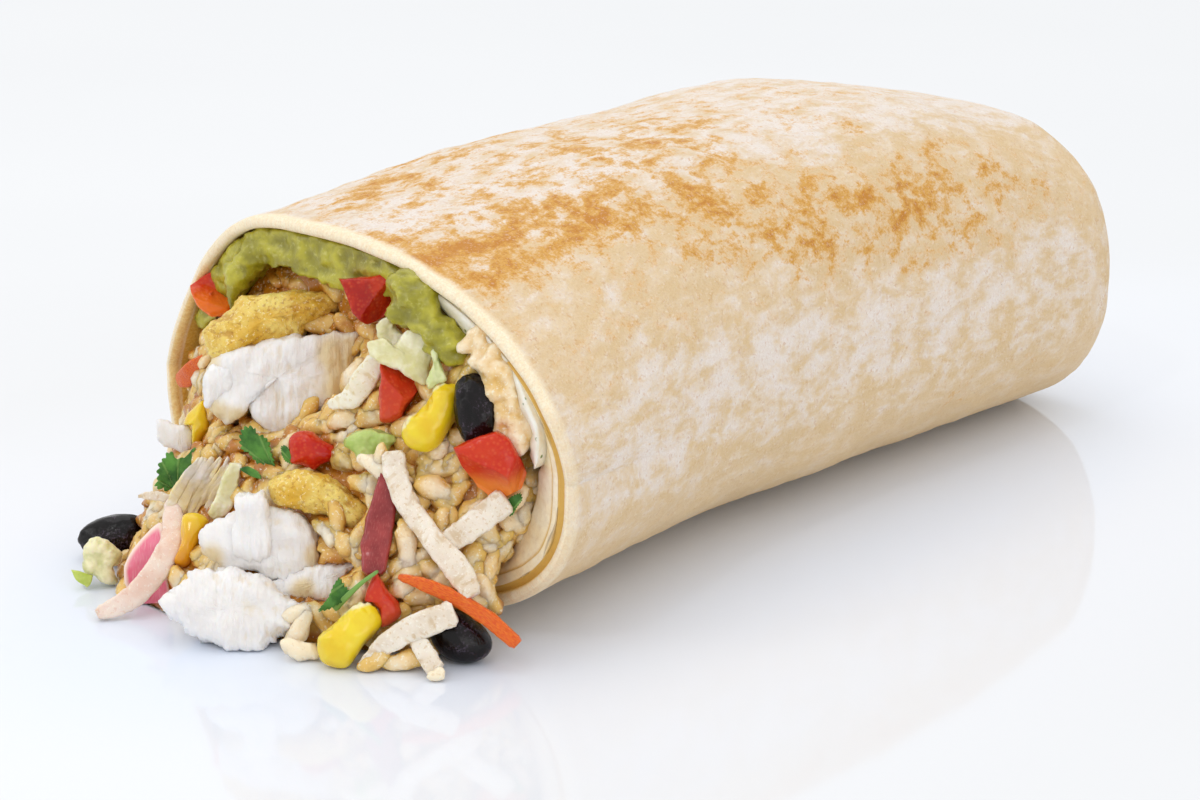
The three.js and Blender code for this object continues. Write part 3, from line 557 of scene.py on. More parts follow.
PLY_COLUMNS, PLY_ROWS = 150, 110
u, v = np.meshgrid(np.linspace(0, 1, PLY_COLUMNS + 1), np.linspace(0, 1, PLY_ROWS + 1))
ply_turn = PLY_FROM + (PLY_TO - PLY_FROM) * u
edge_wave = 0.25 * wavering(np.stack([u * 60, v * 0, u * 0], -1), 9, 2)
ply_stop = PLY_MOUTH + (PLY_BACK - PLY_MOUTH) * v**3.2 + edge_wave * (1 - v) ** 8
joined = smooth(ply_stop, PLY_GROOVE_DEPTH * 0.6, PLY_GROOVE_DEPTH)
window = np.clip(np.sin(math.pi * u), 0, 1) ** 0.7
fold = PLY_FOLD * np.interp(ply_turn, PLY_TURNS, PLY_FULLNESS) * (1 - smooth(ply_stop, 60, PLY_BACK))
fold = fold * np.clip((ply_stop - PLY_MOUTH) / PLY_FOLD_DEPTH, 0, 1) ** 0.8
outer = WALL + PLY_GROOVE - joined * (PLY_GROOVE + 0.5)
inner = WALL + PLY_GROOVE + PLY_THICKNESS * (0.35 + 0.65 * window) + fold
rounding = np.sqrt(1 - (1 - np.clip((ply_stop - PLY_MOUTH) / 0.9, 0, 1)) ** 2) * 0.5
middle = (outer + inner) / 2
soft = np.stack([u * 50, ply_stop * 0.5, u * 0 + 5], -1)
creases = 0.25 * wavering(soft, 5, 3) * smooth(ply_stop, 0.6, 4)
layers = np.clip(np.sin(5.4 * (inner - WALL - PLY_GROOVE - 1.0) + 1.2 * wavering(soft, 7, 2)), 0, 1) ** 3
layers = layers * (1 - smooth(inner - WALL - PLY_GROOVE, 2.4, 4.0)) * (ply_stop < 6)
creases = creases - 0.3 * layers
sides = [roll_point(ply_turn, ply_stop, middle + (outer - middle) * rounding * 2),
         roll_point(ply_turn, ply_stop, middle + (inner - middle + creases) * rounding * 2)]

lining_finish, tree, shader = new_finish("tortilla_lining", **{"Roughness": 0.55, "IOR": 1.4})
uv = node(tree, "ShaderNodeUVMap", uv_map="flat").outputs["UV"]
here = object_place(tree)
cloud = grain_noise(tree, uv, 2.4, 4.0)
fine = grain_noise(tree, here, 900.0, 4.0, 0.6)
# Painted shade: the ply is painted golden by its hollow value, where it lies in shade.
ply_painted_shade = ranged(tree, attribute(tree, "hollow"), 0.0, 1.0)
colour = mixed(tree, ranged(tree, cloud, 0.35, 0.65), tone(253, 236, 198), tone(255, 246, 220))
colour = mixed(tree, worked(tree, "MULTIPLY", ply_painted_shade, 0.9), colour, tone(218, 172, 62))
colour = mixed(tree, ranged(tree, fine, 0.35, 0.75, 0.0, 0.2), colour, tone(186, 140, 84))
tree.links.new(colour, shader.inputs["Base Color"])
dented(tree, shader, fine, 0.0002, 0.5)

# The hollow values are painted shade: 1 on the side against the outer ply, and on the inner side more deeper
# into the pocket, in the creases and between the layers.
hollow = [np.ones_like(u), smooth(ply_stop, 7, 30) * 0.8 + 0.25 * np.clip(-creases * 2, 0, 1) + 0.7 * layers]
lining_uv = np.stack([np.stack([u * 5.4, ply_stop / 10], -1)] * 2)
inner_ply = piece(
    "tortilla_inner_ply", np.stack(sides), sheet_faces(PLY_COLUMNS, PLY_ROWS), lining_finish, lining_uv,
    hollow=np.stack(hollow),
)
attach(inner_ply, "root")
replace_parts(inner_ply, "tortilla")

# ---------------------------------------------------------------- guacamole
# Mashed avocado spread along the whole roof of the roll. At the mouth it bulges in a wet lumpy band,
# hangs in a wedge at the left and piles up in three lobes at the right.
SPREAD_FROM, SPREAD_TO, SPREAD_MOUTH, SPREAD_BACK = 1.1, 2.6, 1.2, 138.0
SPREAD_DEPTH, SPREAD_EXTRA = 4.4, 2.2
CLEARANCE = 0.34
AZIMUTH, ELEVATION = math.radians(44), math.radians(16)
OUT = np.array(
    [math.sin(AZIMUTH) * math.cos(ELEVATION), -math.cos(AZIMUTH) * math.cos(ELEVATION), math.sin(ELEVATION)]
)
RIGHT = np.array([math.cos(AZIMUTH), math.sin(AZIMUTH), 0.0])
UP = np.cross(OUT, RIGHT)


def sphere_points(around, rings):
    """A unit ball as a tube of rings with two poles, its axis along x."""
    tilt = np.linspace(0, math.pi, rings + 2)[1:-1]
    spin = np.linspace(0, 2 * math.pi, around, endpoint=False)
    t, s = np.meshgrid(tilt, spin, indexing="ij")
    body = np.stack([-np.cos(t), np.sin(t) * np.cos(s), np.sin(t) * np.sin(s)], -1).reshape(-1, 3)
    return np.vstack([body, [[-1, 0, 0], [1, 0, 0]]]), tube_faces(rings, around)


def outward(made):
    """Turns a mesh's faces outwards and gives the direction out of it at each point."""
    work = bmesh.new()
    work.from_mesh(made.data)
    bmesh.ops.recalc_face_normals(work, faces=work.faces)
    work.to_mesh(made.data)
    work.free()
    made.data.update()
    normals = np.zeros(len(made.data.vertices) * 3)
    made.data.vertices.foreach_get("normal", normals)
    return normals.reshape(-1, 3)


def places(made):
    """The points of a piece, in millimetres."""
    co = np.zeros(len(made.data.vertices) * 3)
    made.data.vertices.foreach_get("co", co)
    return co.reshape(-1, 3) * 1000


def raised(made, amounts, key="hollow", keep=1.0):
    """Moves each point of a piece straight out by its amount in millimetres, and keeps how deep it lies, for
    painted shade in the hollows.
    """
    out_from = outward(made)
    moved = places(made) + out_from * np.asarray(amounts)[:, None]
    moved[:, 2] = np.maximum(moved[:, 2], 0.03)
    made.data.vertices.foreach_set("co", (moved / 1000).ravel())
    spread = np.percentile(amounts, 95) - np.percentile(amounts, 5) + 1e-6
    depth = np.clip((np.percentile(amounts, 95) - amounts) / spread, 0, 1) * keep
    layer = made.data.attributes.get(key) or made.data.attributes.new(key, "FLOAT", "POINT")
    layer.data.foreach_set("value", depth.astype(np.float32))
    made.data.update()
    return made


def voxel_merged(name, parts, voxel, finish, smoothing):
    """One skin round several overlapping closed pieces."""
    whole = parts[0]
    bpy.ops.object.select_all(action="DESELECT")
    for part in parts:
        outward(part)
        part.select_set(True)
    bpy.context.view_layer.objects.active = whole
    bpy.ops.object.join()
    remesh = whole.modifiers.new("skin", "REMESH")
    remesh.mode = "VOXEL"
    remesh.voxel_size = voxel / 1000
    even = whole.modifiers.new("even", "SMOOTH")
    even.iterations = smoothing
    even.factor = 0.5
    ready = bpy.data.meshes.new_from_object(whole.evaluated_get(bpy.context.evaluated_depsgraph_get()))
    bpy.data.objects.remove(whole)
    ready.name = name
    ready.materials.clear()
    ready.materials.append(finish)
    ready.shade_smooth()
    made = bpy.data.objects.new(name, ready)
    bpy.context.scene.collection.objects.link(made)
    return made


guacamole_finish, tree, shader = new_finish("guacamole_mash", **{
    "Roughness": 0.3, "IOR": 1.45, "Subsurface Weight": 0.2, "Subsurface Radius": (0.6, 0.7, 0.15),
    "Subsurface Scale": 0.001, "Coat Weight": 0.25, "Coat Roughness": 0.12,
})
here = object_place(tree)
pulp = grain_noise(tree, here, 260.0, 4.0, 0.6)
fine = grain_noise(tree, here, 1100.0, 3.0, 0.6)
colour = mixed(tree, ranged(tree, pulp, 0.3, 0.7), tone(146, 139, 18), tone(192, 184, 56))
# Painted shade: the mash is painted darker in its hollows.
colour = mixed(tree, ranged(tree, attribute(tree, "hollow"), 0.3, 1.0, 0.0, 0.6), colour, tone(116, 110, 14))
colour = mixed(tree, ranged(tree, fine, 0.55, 0.78, 0.0, 0.5), colour, tone(220, 216, 134))
tree.links.new(colour, shader.inputs["Base Color"])
coarse = dented(tree, shader, pulp, 0.0008, 0.6)
dented(tree, shader, fine, 0.0002, 0.5, coarse)

u, v = np.meshgrid(np.linspace(0, 1, 61), np.linspace(0, 1, 71))
spread_turn = SPREAD_FROM + (SPREAD_TO - SPREAD_FROM) * u
spread_stop = SPREAD_MOUTH + (SPREAD_BACK - SPREAD_MOUTH) * v**1.8
roof = WALL + 2 * CLEARANCE
edge = np.clip(np.sin(math.pi * (0.04 + 0.92 * u)), 0, 1) ** 0.5
bulge = SPREAD_DEPTH + SPREAD_EXTRA * (1 - smooth(spread_stop, 0, 12))
fade = 1 - 0.7 * smooth(spread_stop, SPREAD_BACK - 14, SPREAD_BACK)
spread_depth = bulge * edge * fade * (1 + 0.16 * np.sin(9 * u + 0.2 * spread_stop))
spread = piece("guacamole_spread", np.stack([roll_point(spread_turn, spread_stop, roof - 0.4),
                                              roll_point(spread_turn, spread_stop, roof + spread_depth)]),
               sheet_faces(60, 70), guacamole_finish)
parts = [spread]
ball, ball_faces = sphere_points(24, 15)
for at, size in (
    ((12.6, 0.4, 47.2), (6.4, 6.6, 5.6)), ((14.8, 0.0, 46.0), (6.6, 7.0, 5.6)),
    ((13.2, -0.6, 43.8), (6.0, 6.0, 5.0)), ((16.6, -0.4, 43.0), (5.4, 5.6, 4.8)),
    ((19.4, -0.2, 41.6), (5.8, 5.6, 4.8)), ((21.4, 0.2, 39.6), (5.8, 5.6, 5.0)),
    ((18.4, -0.4, 39.6), (3.4, 4.0, 3.0))
):
    parts.append(
        piece("lobe", np.array(at) + ball @ np.diag(np.array(size) / 2), ball_faces, guacamole_finish)
    )
for at, size in (
    ((-24.0, 1.4, 44.6), 2.6), ((-25.2, 0.4, 42.4), 2.3), ((-26.0, -0.2, 40.4), 1.8),
    ((-26.4, -0.5, 38.6), 1.25), ((-26.6, -0.6, 37.2), 0.8)
):
    parts.append(piece("drip", np.array(at) + ball * size, ball_faces, guacamole_finish))
guacamole = voxel_merged("guacamole_mash", parts, 0.65, guacamole_finish, 3)
where = places(guacamole)
streaked = where * [0.6, 0.6, 1.5]
raised(guacamole, 0.6 * wavering(streaked, 3.6, 3) + 0.35 * wavering(where + 30, 1.7, 3))
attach(guacamole, "root")
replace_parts(guacamole, "guacamole")

# ---------------------------------------------------------------- cream sauce
# A white herb sauce, flecked with chopped green herb. It is smeared down the right wall beside the
# inner ply.
SMEAR_FROM, SMEAR_TO, SMEAR_MOUTH, SMEAR_BACK, SMEAR_DEPTH = 0.1, 1.16, 1.0, 136.0, 3.6
cream_finish, tree, shader = new_finish(
    "cream_sauce",
    **{
        "Roughness": 0.3, "IOR": 1.42, "Subsurface Weight": 0.2, "Subsurface Radius": (0.8, 0.7, 0.5),
        "Subsurface Scale": 0.001
    }
)
here = object_place(tree)
cloud = grain_noise(tree, here, 350.0, 3.0)
flecks = node(tree, "ShaderNodeTexVoronoi", {"Vector": here, "Scale": 520.0, "Randomness": 1.0})
colour = mixed(tree, ranged(tree, cloud, 0.3, 0.7), tone(234, 224, 198), tone(246, 243, 232))
fleck = worked(
    tree, "MULTIPLY", ranged(tree, flecks.outputs["Distance"], 0.2, 0.1), ranged(tree, cloud, 0.5, 0.56)
)
colour = mixed(tree, fleck, colour, tone(106, 128, 56))
tree.links.new(colour, shader.inputs["Base Color"])
dented(tree, shader, cloud, 0.0006, 0.6)
u, v = np.meshgrid(np.linspace(0, 1, 41), np.linspace(0, 1, 91))
smear_turn = SMEAR_FROM + (SMEAR_TO - SMEAR_FROM) * u
smear_stop = (
    SMEAR_MOUTH + (SMEAR_BACK - SMEAR_MOUTH) * v**1.8
    - 1.1 * (1 - smooth(smear_turn, 0.5, 0.7)) * (1 - v) ** 8
)
smear_depth = (
    SMEAR_DEPTH * np.clip(np.sin(math.pi * (0.08 + 0.84 * u)), 0, 1) ** 0.6
    * (1 + 0.2 * np.sin(7 * u + smear_stop))
)
smear_depth = smear_depth * (1 + 0.5 * wavering(np.stack([u * 20, smear_stop, u * 0], -1), 3.2, 2))
smear_depth = smear_depth * np.sqrt(np.clip(v**1.8 * 85 + 0.05, 0, 1))
smear_depth = (
    smear_depth
    * np.interp(smear_turn, [0.1, 0.2, 0.3, 0.5, 0.7, 0.9, 1.16], [0.6, 1.2, 1.35, 1.1, 0.9, 1.1, 0.8])
)
smear_base = np.interp(smear_turn, [0.1, 0.2, 0.3, 0.4, 0.56, 0.7], [6.6, 5.4, 4.2, 3.2, 2.8, roof])
cream = piece(
    "cream_smear",
    np.stack(
        [
            roll_point(smear_turn, smear_stop, smear_base),
            roll_point(smear_turn, smear_stop, smear_base + smear_depth)
        ]
    ),
    sheet_faces(40, 90), cream_finish
)
outward(cream)
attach(cream, "root")
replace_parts(cream, "cream_sauce")

# ---------------------------------------------------------------- battered fish
# Flaky white fish, cooked in a golden grainy batter and broken open. The upper fillet runs back into the
# roll under its batter, two ragged pieces have slid down the heap, and a chip of flesh lies at the left.


def laid(points, at, turn=0.0, lean=0.0, nod=0.0, shift=(0.0, 0.0)):
    """Places local points on the heap. x runs to the right and y up as seen from the front right corner,
    z comes out. Turn is from x towards y, lean brings the x end forward, nod the y end, in degrees."""
    t, l, n = (math.radians(a) for a in (turn, -lean, nod))
    spin = np.array([[math.cos(t), -math.sin(t), 0], [math.sin(t), math.cos(t), 0], [0, 0, 1]])
    tip = np.array([[math.cos(l), 0, math.sin(l)], [0, 1, 0], [-math.sin(l), 0, math.cos(l)]])
    roll = np.array([[1, 0, 0], [0, math.cos(n), -math.sin(n)], [0, math.sin(n), math.cos(n)]])
    basis = np.stack([RIGHT, UP, OUT], 1)
    placed = np.asarray(points) @ (basis @ spin @ tip @ roll).T
    return placed + np.array(at) + RIGHT * shift[0] + UP * shift[1]


def outline(corners, count, crisp):
    """A closed line through the corners, rounded, or straight from one to the next where crisp is 1."""
    corners = np.array(corners, float)
    n = len(corners)
    lengths = np.linalg.norm(np.roll(corners, -1, 0) - corners, axis=1)
    starts = np.concatenate([[0], np.cumsum(lengths)])
    s = np.linspace(0, starts[-1], count, endpoint=False)
    i = np.clip(np.searchsorted(starts, s, side="right") - 1, 0, n - 1)
    f = ((s - starts[i]) / lengths[i])[:, None]
    a, b, c, d = corners[i - 1], corners[i], corners[(i + 1) % n], corners[(i + 2) % n]
    rounded = (
        0.5 * (2 * b + (c - a) * f + (2 * a - 5 * b + 4 * c - d) * f**2 + (3 * b - a - 3 * c + d) * f**3)
    )
    return rounded * (1 - crisp) + (b + (c - b) * f) * crisp


def lump(
    corners, front, back, square=2.6, crisp=0.2, centre=(0.0, 0.0), around=120, rings=22, facets=(),
    torn=0.0
):
    """A solid lump with that outline as seen from outside, front in front of it and back behind it. A
    facet (x, y, offset, slope) cuts it off to one side, and torn frays its rim by that many millimetres.
    Gives points, faces and a flat map."""
    edge = outline(corners, around, crisp) - np.array(centre)
    depthless = np.column_stack([edge, np.full(around, 3.0)])
    frayed = 0.6 * wavering(depthless, 2.4, 3) + 0.4 * wavering(depthless + 9, 0.8, 2)
    fray = (torn * frayed / np.linalg.norm(edge, axis=1))[:, None]
    share = np.sin(np.linspace(0, math.pi / 2, rings + 1)[1:])
    profile = (1 - share**square) ** (1 / square)
    rows = []
    for side, depth in ((1, front), (-1, back)):
        order = range(rings) if side == 1 else range(rings - 2, -1, -1)
        for k in order:
            xy = edge * share[k] * (1 + fray * share[k] ** 8) + np.array(centre)
            z = np.full(around, depth * profile[k])
            if side == 1:
                for nx, ny, offset, slope in facets:
                    z = np.minimum(z, np.maximum(slope * (offset - xy @ np.array([nx, ny])), 0.0))
            rows.append(np.column_stack([xy, z * side]))
    points = np.vstack(rows + [[[*centre, front]], [[*centre, -back]]])
    return points, tube_faces(2 * rings - 1, around), points[:, :2] / 10


fish_finish, tree, shader = new_finish(
    "fish_flesh",
    **{
        "Roughness": 0.42, "IOR": 1.4, "Subsurface Weight": 0.3, "Subsurface Radius": (1.0, 0.8, 0.6),
        "Subsurface Scale": 0.0015
    }
)
uv = node(tree, "ShaderNodeUVMap", uv_map="flat").outputs["UV"]
stretched = node(tree, "ShaderNodeMapping", {"Vector": uv, "Scale": (1.0, 0.16, 1.0)}).outputs["Vector"]
fibres = grain_noise(tree, stretched, 22.0, 5.0, 0.65)
here = object_place(tree)
mottled = grain_noise(tree, here, 220.0, 3.0)
colour = mixed(tree, ranged(tree, mottled, 0.3, 0.7), tone(240, 235, 231), tone(247, 244, 242))
stained = worked(
    tree, "ADD", attribute(tree, "stained"),
    worked(tree, "MULTIPLY", worked(tree, "SUBTRACT", mottled, 0.5), 0.8)
)
colour = mixed(tree, ranged(tree, stained, 0.15, 0.9, 0.0, 0.85), colour, tone(228, 204, 150))
# Painted shade: the deepest hollows of the flesh are painted a darker, warmer cream.
colour = mixed(
    tree, ranged(tree, attribute(tree, "hollow"), 0.7, 1.0, 0.0, 0.5), colour, tone(232, 216, 186)
)
colour = mixed(tree, ranged(tree, fibres, 0.52, 0.8, 0.0, 0.3), colour, tone(230, 220, 208))
tree.links.new(colour, shader.inputs["Base Color"])
coarse = dented(tree, shader, fibres, 0.0004, 0.7)
dented(tree, shader, grain_noise(tree, here, 1500.0, 3.0), 0.00016, 0.7, coarse)

batter_finish, tree, shader = new_finish(
    "fish_batter",
    **{
        "Roughness": 0.4, "IOR": 1.45, "Subsurface Weight": 0.15, "Subsurface Radius": (1.0, 0.6, 0.2),
        "Subsurface Scale": 0.0008
    }
)
here = object_place(tree)
crumb = grain_noise(tree, here, 900.0, 4.0, 0.65)
patchy = grain_noise(tree, here, 170.0, 3.0, 0.6)
colour = mixed(tree, ranged(tree, patchy, 0.32, 0.68), tone(221, 170, 38), tone(240, 214, 116))
# Painted shade: the batter is painted darker brown in its hollows.
colour = mixed(tree, ranged(tree, attribute(tree, "hollow"), 0.6, 1.0, 0.0, 0.6), colour, tone(186, 124, 24))
colour = mixed(tree, ranged(tree, crumb, 0.56, 0.74, 0.0, 0.75), colour, tone(248, 228, 150))
colour = speckled(tree, colour, here, 2400.0, 0.6, tone(252, 240, 190))
colour = speckled(tree, colour, here, 1700.0, 0.5, tone(176, 112, 16))
tree.links.new(colour, shader.inputs["Base Color"])
coarse = dented(tree, shader, patchy, 0.0008, 0.5)
dented(tree, shader, crumb, 0.0004, 0.9, coarse)


def flesh(name, shape, stands_for, place, fibre=1.0, spread=1.0, stains=()):
    """A piece of fish: fibres run down it, flakes part across it, and its rim is torn."""
    points, faces, flat = shape
    stained = np.zeros(len(points))
    for x, y, size in stains:
        stained += np.exp(-((points[:, 0] - x) ** 2 + (points[:, 1] - y) ** 2) / size**2)
    made = piece(
        f"{name}_flesh" if name == stands_for else name, laid(points, **place), faces, fish_finish, flat,
        stained=stained
    )
    local = np.column_stack([points[:, 0] * 1.0, points[:, 1] * 0.22, points[:, 2] * 0.5])
    flakes = np.abs(np.mod(points[:, 0] / 4.6 + 0.35 * wavering(local * 0.5, 3, 2), 1) - 0.5) * 2
    torn = wavering(local + 20, 0.8, 4)
    broad = wavering(points + 50, 5.0, 2)
    raised(made, spread * (0.26 * torn * fibre + 0.34 * np.sqrt(flakes) + 0.7 * broad - 0.3))
    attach(made, "root")
    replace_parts(made, stands_for)
    return made


def battered(name, shape, stands_for, place):
    """A crust of batter: bubbled and grainy."""
    points, faces, flat = shape
    made = piece(name, laid(points, **place), faces, batter_finish, flat)
    where = places(made)
    raised(made, 0.5 * wavering(where, 3.4, 3) + 0.2 * wavering(where + 9, 0.8, 3) - 0.1)
    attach(made, "root")
    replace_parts(made, stands_for)
    return made


UPPER = {"at": (-14, -4, 32)}
flesh(
    "fish_upper_flesh",
    lump(
        [
            (-8.7, -1.7), (-6, 1), (-0.3, 3), (4.5, 4), (8.7, 4.2), (12.5, 4.5), (14.9, 4.8), (14.6, 2.8),
            (13.7, 0.3), (12.4, -3.1), (11.5, -5.9), (8.2, -7), (5.4, -9), (3.2, -10.7), (1.1, -11.7),
            (-0.8, -10.4), (-2.1, -9.3), (-2.6, -7.2), (-3.6, -6), (-4, -8), (-6, -9.6), (-7.7, -8),
            (-8.5, -6.3), (-8.9, -4.5)
        ],
        4.6, 16, square=4.4, crisp=0.5, centre=(2.0, -2.6), around=170, rings=30, torn=0.5
    ),
    "fish_upper", UPPER,
    stains=(
        (13.5, 0.5, 3.4), (11, -4.5, 3.6), (9.5, 1.5, 2.4), (-7.4, -7.4, 2.2), (-8.6, 0.0, 2.0),
        (-3.6, -8.4, 1.6)
    )
)
flesh(
    "fish_upper_flake",
    lump(
        [
            (-8.7, -1.7), (-7.6, -0.7), (-4.4, -0.6), (-3.9, -2.6), (-4.9, -4.8), (-6.6, -5.4),
            (-8.5, -6.6), (-9, -4)
        ],
        2.0, 3, square=3.6, crisp=0.5, centre=(-6.6, -2.8), around=90, rings=14, torn=0.4
    ),
    "fish_upper", {"at": (-12.4, -5.6, 32.4)}
)
battered(
    "fish_upper_batter",
    lump(
        [
            (-8.9, 5.4), (-5.9, 7.6), (-3.9, 9.4), (1.1, 10.4), (5.8, 10.7), (9.6, 10.4), (11, 8.3),
            (8.2, 6.3), (5.8, 4.8), (4.9, 3.2), (1.1, 2.4), (-2.1, 1), (-5.4, -0.3), (-7.5, -0.6),
            (-9.2, 2), (-9.6, 3.8)
        ],
        4.6, 14, square=2.2, crisp=0.1, centre=(0.0, 5.0), around=150, rings=24, torn=0.35
    ),
    "fish_upper", {"at": (-14, -4, 32), "nod": -14}
)
LOWER = {"at": (3.6, -19.6, 11.4)}
flesh(
    "fish_lower_body",
    lump(
        [
            (-9, 0.5), (-7.8, 3), (-4.2, 5), (-2, 5.6), (1.1, 5.5), (3.9, 4.8), (6.1, 3.6), (7.5, 2),
            (8, -0.9), (7, -3.5), (4, -5), (1.3, -4.7), (-0.9, -3.8), (-4, -3.6), (-5.8, -2.6), (-7.6, -1.6)
        ],
        3.2, 4, crisp=0.4, torn=0.8
    ),
    "fish_lower", LOWER, stains=((-7.5, -1.5, 2.4), (7.5, -1.5, 2.2))
)
flesh(
    "fish_lower_block",
    lump(
        [
            (-3.9, 7.0), (-2.4, 8.0), (-0.6, 8.0), (0.3, 7.2), (0.9, 4), (1.4, 0.6), (0.5, -1.6),
            (-2.2, -2), (-4.2, -0.6), (-4.1, 3)
        ],
        2.4, 3, square=4.6, crisp=0.3, centre=(-1.6, 3), rings=18, torn=0.5
    ),
    "fish_lower", {"at": (4.8, -20.8, 11.8)}
)
flesh(
    "fish_lower_flake",
    lump(
        [
            (7.0, -1.4), (9.9, -1.9), (13.6, -1.4), (12.4, -3), (11.5, -4.4), (9.9, -6.9), (7.5, -7.4),
            (4.5, -7.2), (1.6, -6.0), (3.6, -3.8)
        ],
        1.6, 2.8, crisp=0.7, centre=(7.8, -4.4), rings=16, torn=0.7
    ),
    "fish_lower", {"at": (4.9, -20.9, 11.6)}, stains=((5.5, -5.6, 2.0),)
)
flesh(
    "fish_lower_strip",
    lump(
        [
            (-6.2, -2.6), (-3.4, -3.0), (-0.4, -3.6), (2.4, -4.4), (5.4, -4.8), (7.6, -5.8), (6.4, -7.4),
            (3.2, -7.6), (0.2, -6.6), (-3.2, -5.4), (-6.0, -4.4)
        ],
        1.5, 2.6, crisp=0.5, centre=(0.8, -5.0), rings=16, torn=0.6
    ),
    "fish_lower", {"at": (4.4, -20.8, 11.5)}, fibre=0.8, spread=0.8
)
flesh(
    "fish_front",
    lump(
        [
            (-6.7, 3.8), (-5.3, 5.6), (-3.1, 5.8), (0.4, 5.8), (3.1, 4.9), (5.8, 4), (7.8, 2), (9.8, 0.9),
            (9.1, -0.7), (9.1, -2.9), (7.3, -3.3), (5.1, -4.4), (4.4, -5.8), (1.3, -5.6), (-2, -5.1),
            (-4.2, -4), (-6.7, -2), (-8.9, -0.2), (-9.8, 1.1), (-7.6, 2.8)
        ],
        3.6, 4.4, square=3.6, crisp=0.6, around=240, rings=34, torn=0.9
    ),
    "fish_front", {"at": (5, -26.6, 5.4), "shift": (-0.2, -1.4), "nod": -14}, fibre=0.9, spread=0.9
)
flesh(
    "fish_flake",
    lump(
        [
            (-2.9, 2.7), (-1.3, 2.8), (0.1, 1.9), (2, 1.6), (2.7, 0.5), (2.4, -1.6), (1.7, -2.7),
            (0.7, -2.1), (-0.4, -1.6), (-1.6, -1.6), (-2.7, 0)
        ],
        0.9, 0.9, crisp=0.5, around=80, rings=10, torn=0.3
    ),
    "fish_flake", {"at": (-29.5, -10.4, 18.8), "shift": (0.3, -0.4)}, fibre=0.4, spread=0.5
)
battered(
    "fish_batter_lower",
    lump(
        [
            (-7, 2.7), (-4.8, 4), (-2.1, 4.4), (0, 3.8), (2.1, 2.9), (5.8, 0.3), (7.5, -2.2), (6.5, -3.6),
            (4.5, -3.8), (2.1, -3.1), (1.5, -2), (-1.3, -1.8), (-2.7, -1.5), (-5.9, -0.6), (-7, 1.6)
        ],
        3.0, 3, crisp=0.1, centre=(0, 0.6), around=110, rings=18
    ),
    "batter_lower", {"at": (7.6, -13, 18), "shift": (0.1, -0.4)}
)

# ---------------------------------------------------------------- diced tomato
# Hand-cut ripe tomato: glossy red skin and cut flesh that turns orange towards the core. Four dice sit in
# the mouth of the roll and two softer bits lie on the heap.


def tomato_finish_of(name, deep, flesh_tone, low, high):
    """Red above, turning to flesh_tone lower down between those heights in metres."""
    made, tree, shader = new_finish(
        name,
        **{
            "Roughness": 0.2, "IOR": 1.45, "Specular IOR Level": 0.3, "Subsurface Weight": 0.15,
            "Subsurface Radius": (1.0, 0.2, 0.1), "Subsurface Scale": 0.001, "Coat Weight": 0.12,
            "Coat Roughness": 0.06
        }
    )
    here = object_place(tree)
    cloud = grain_noise(tree, here, 260.0, 4.0, 0.6)
    cells = node(tree, "ShaderNodeTexVoronoi", {"Vector": here, "Scale": 1500.0})
    height = node(tree, "ShaderNodeSeparateXYZ", {0: here}).outputs["Z"]
    uneven_height = worked(
        tree, "ADD", height, worked(tree, "MULTIPLY", worked(tree, "SUBTRACT", cloud, 0.5), 0.004)
    )
    colour = mixed(tree, ranged(tree, cloud, 0.3, 0.7), deep, tone(206, 58, 22))
    colour = mixed(tree, ranged(tree, uneven_height, high, low), colour, flesh_tone)
    colour = mixed(
        tree, ranged(tree, cells.outputs["Distance"], 0.5, 0.1, 0.0, 0.22), colour, tone(232, 116, 60)
    )
    tree.links.new(colour, shader.inputs["Base Color"])
    coarse = dented(tree, shader, cloud, 0.0005, 0.5)
    dented(tree, shader, cells.outputs["Distance"], 0.00012, 0.35, coarse)
    return made


def tomato(name, shape, place, finish, wobble=0.25):
    points, faces, flat = shape
    made = piece(f"{name}_dice", laid(points, **place), faces, finish, flat)
    raised(made, wobble * wavering(places(made) + 3, 4.0, 2) + 0.06 * wavering(places(made), 1.1, 2))
    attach(made, "root")
    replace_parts(made, name)
    return made


tomato(
    "tomato_right",
    lump(
        [
            (-5, 2.7), (-2.3, 4), (0.8, 5), (2.6, 3.8), (4, 1.4), (4.9, -0.9), (4.1, -3), (0.7, -4.7),
            (-1.8, -2.7), (-3.6, 0)
        ],
        4.2, 3, square=7, crisp=0.85, facets=((-0.45, -0.89, 2.9, 1.5), (0.95, -0.3, 4.4, 2.6))
    ),
    {"at": (31.2, -2.6, 25.4), "shift": (0.4, 0)},
    tomato_finish_of("tomato_right_skin", tone(196, 30, 16), tone(232, 130, 48), 0.0225, 0.0262)
)
tomato(
    "tomato_centre",
    lump(
        [
            (-2.3, 4.2), (0, 4.1), (1.6, 3.3), (3.3, 1.6), (2.2, -0.4), (1.1, -1.8), (0.4, -3.1),
            (-1.1, -4), (-2.4, -3.8), (-2.7, -0.7), (-2.6, 2)
        ],
        2.6, 2.4, square=4, crisp=0.7, facets=((0.7, 0.7, 2.4, 1.2),)
    ),
    {"at": (14, -3.4, 32.9), "shift": (0, -0.4)},
    tomato_finish_of("tomato_centre_skin", tone(190, 50, 28), tone(214, 84, 44), 0.024, 0.036), 0.45
)
tomato(
    "tomato_top",
    lump(
        [
            (-4.1, 2.8), (-2, 2.9), (0.9, 3), (2.2, 3.4), (4, 2.8), (4.1, 0), (3.6, -1.6), (3, -2.4),
            (0, -3.8), (-2, -2.4), (-2.9, 0)
        ],
        3.0, 3.2, square=6, crisp=0.8, facets=((0.8, -0.6, 3.0, 1.6),)
    ),
    {"at": (3.6, 0.6, 43), "shift": (-0.3, 0.7)},
    tomato_finish_of("tomato_top_skin", tone(168, 28, 18), tone(190, 54, 30), 0.030, 0.041)
)
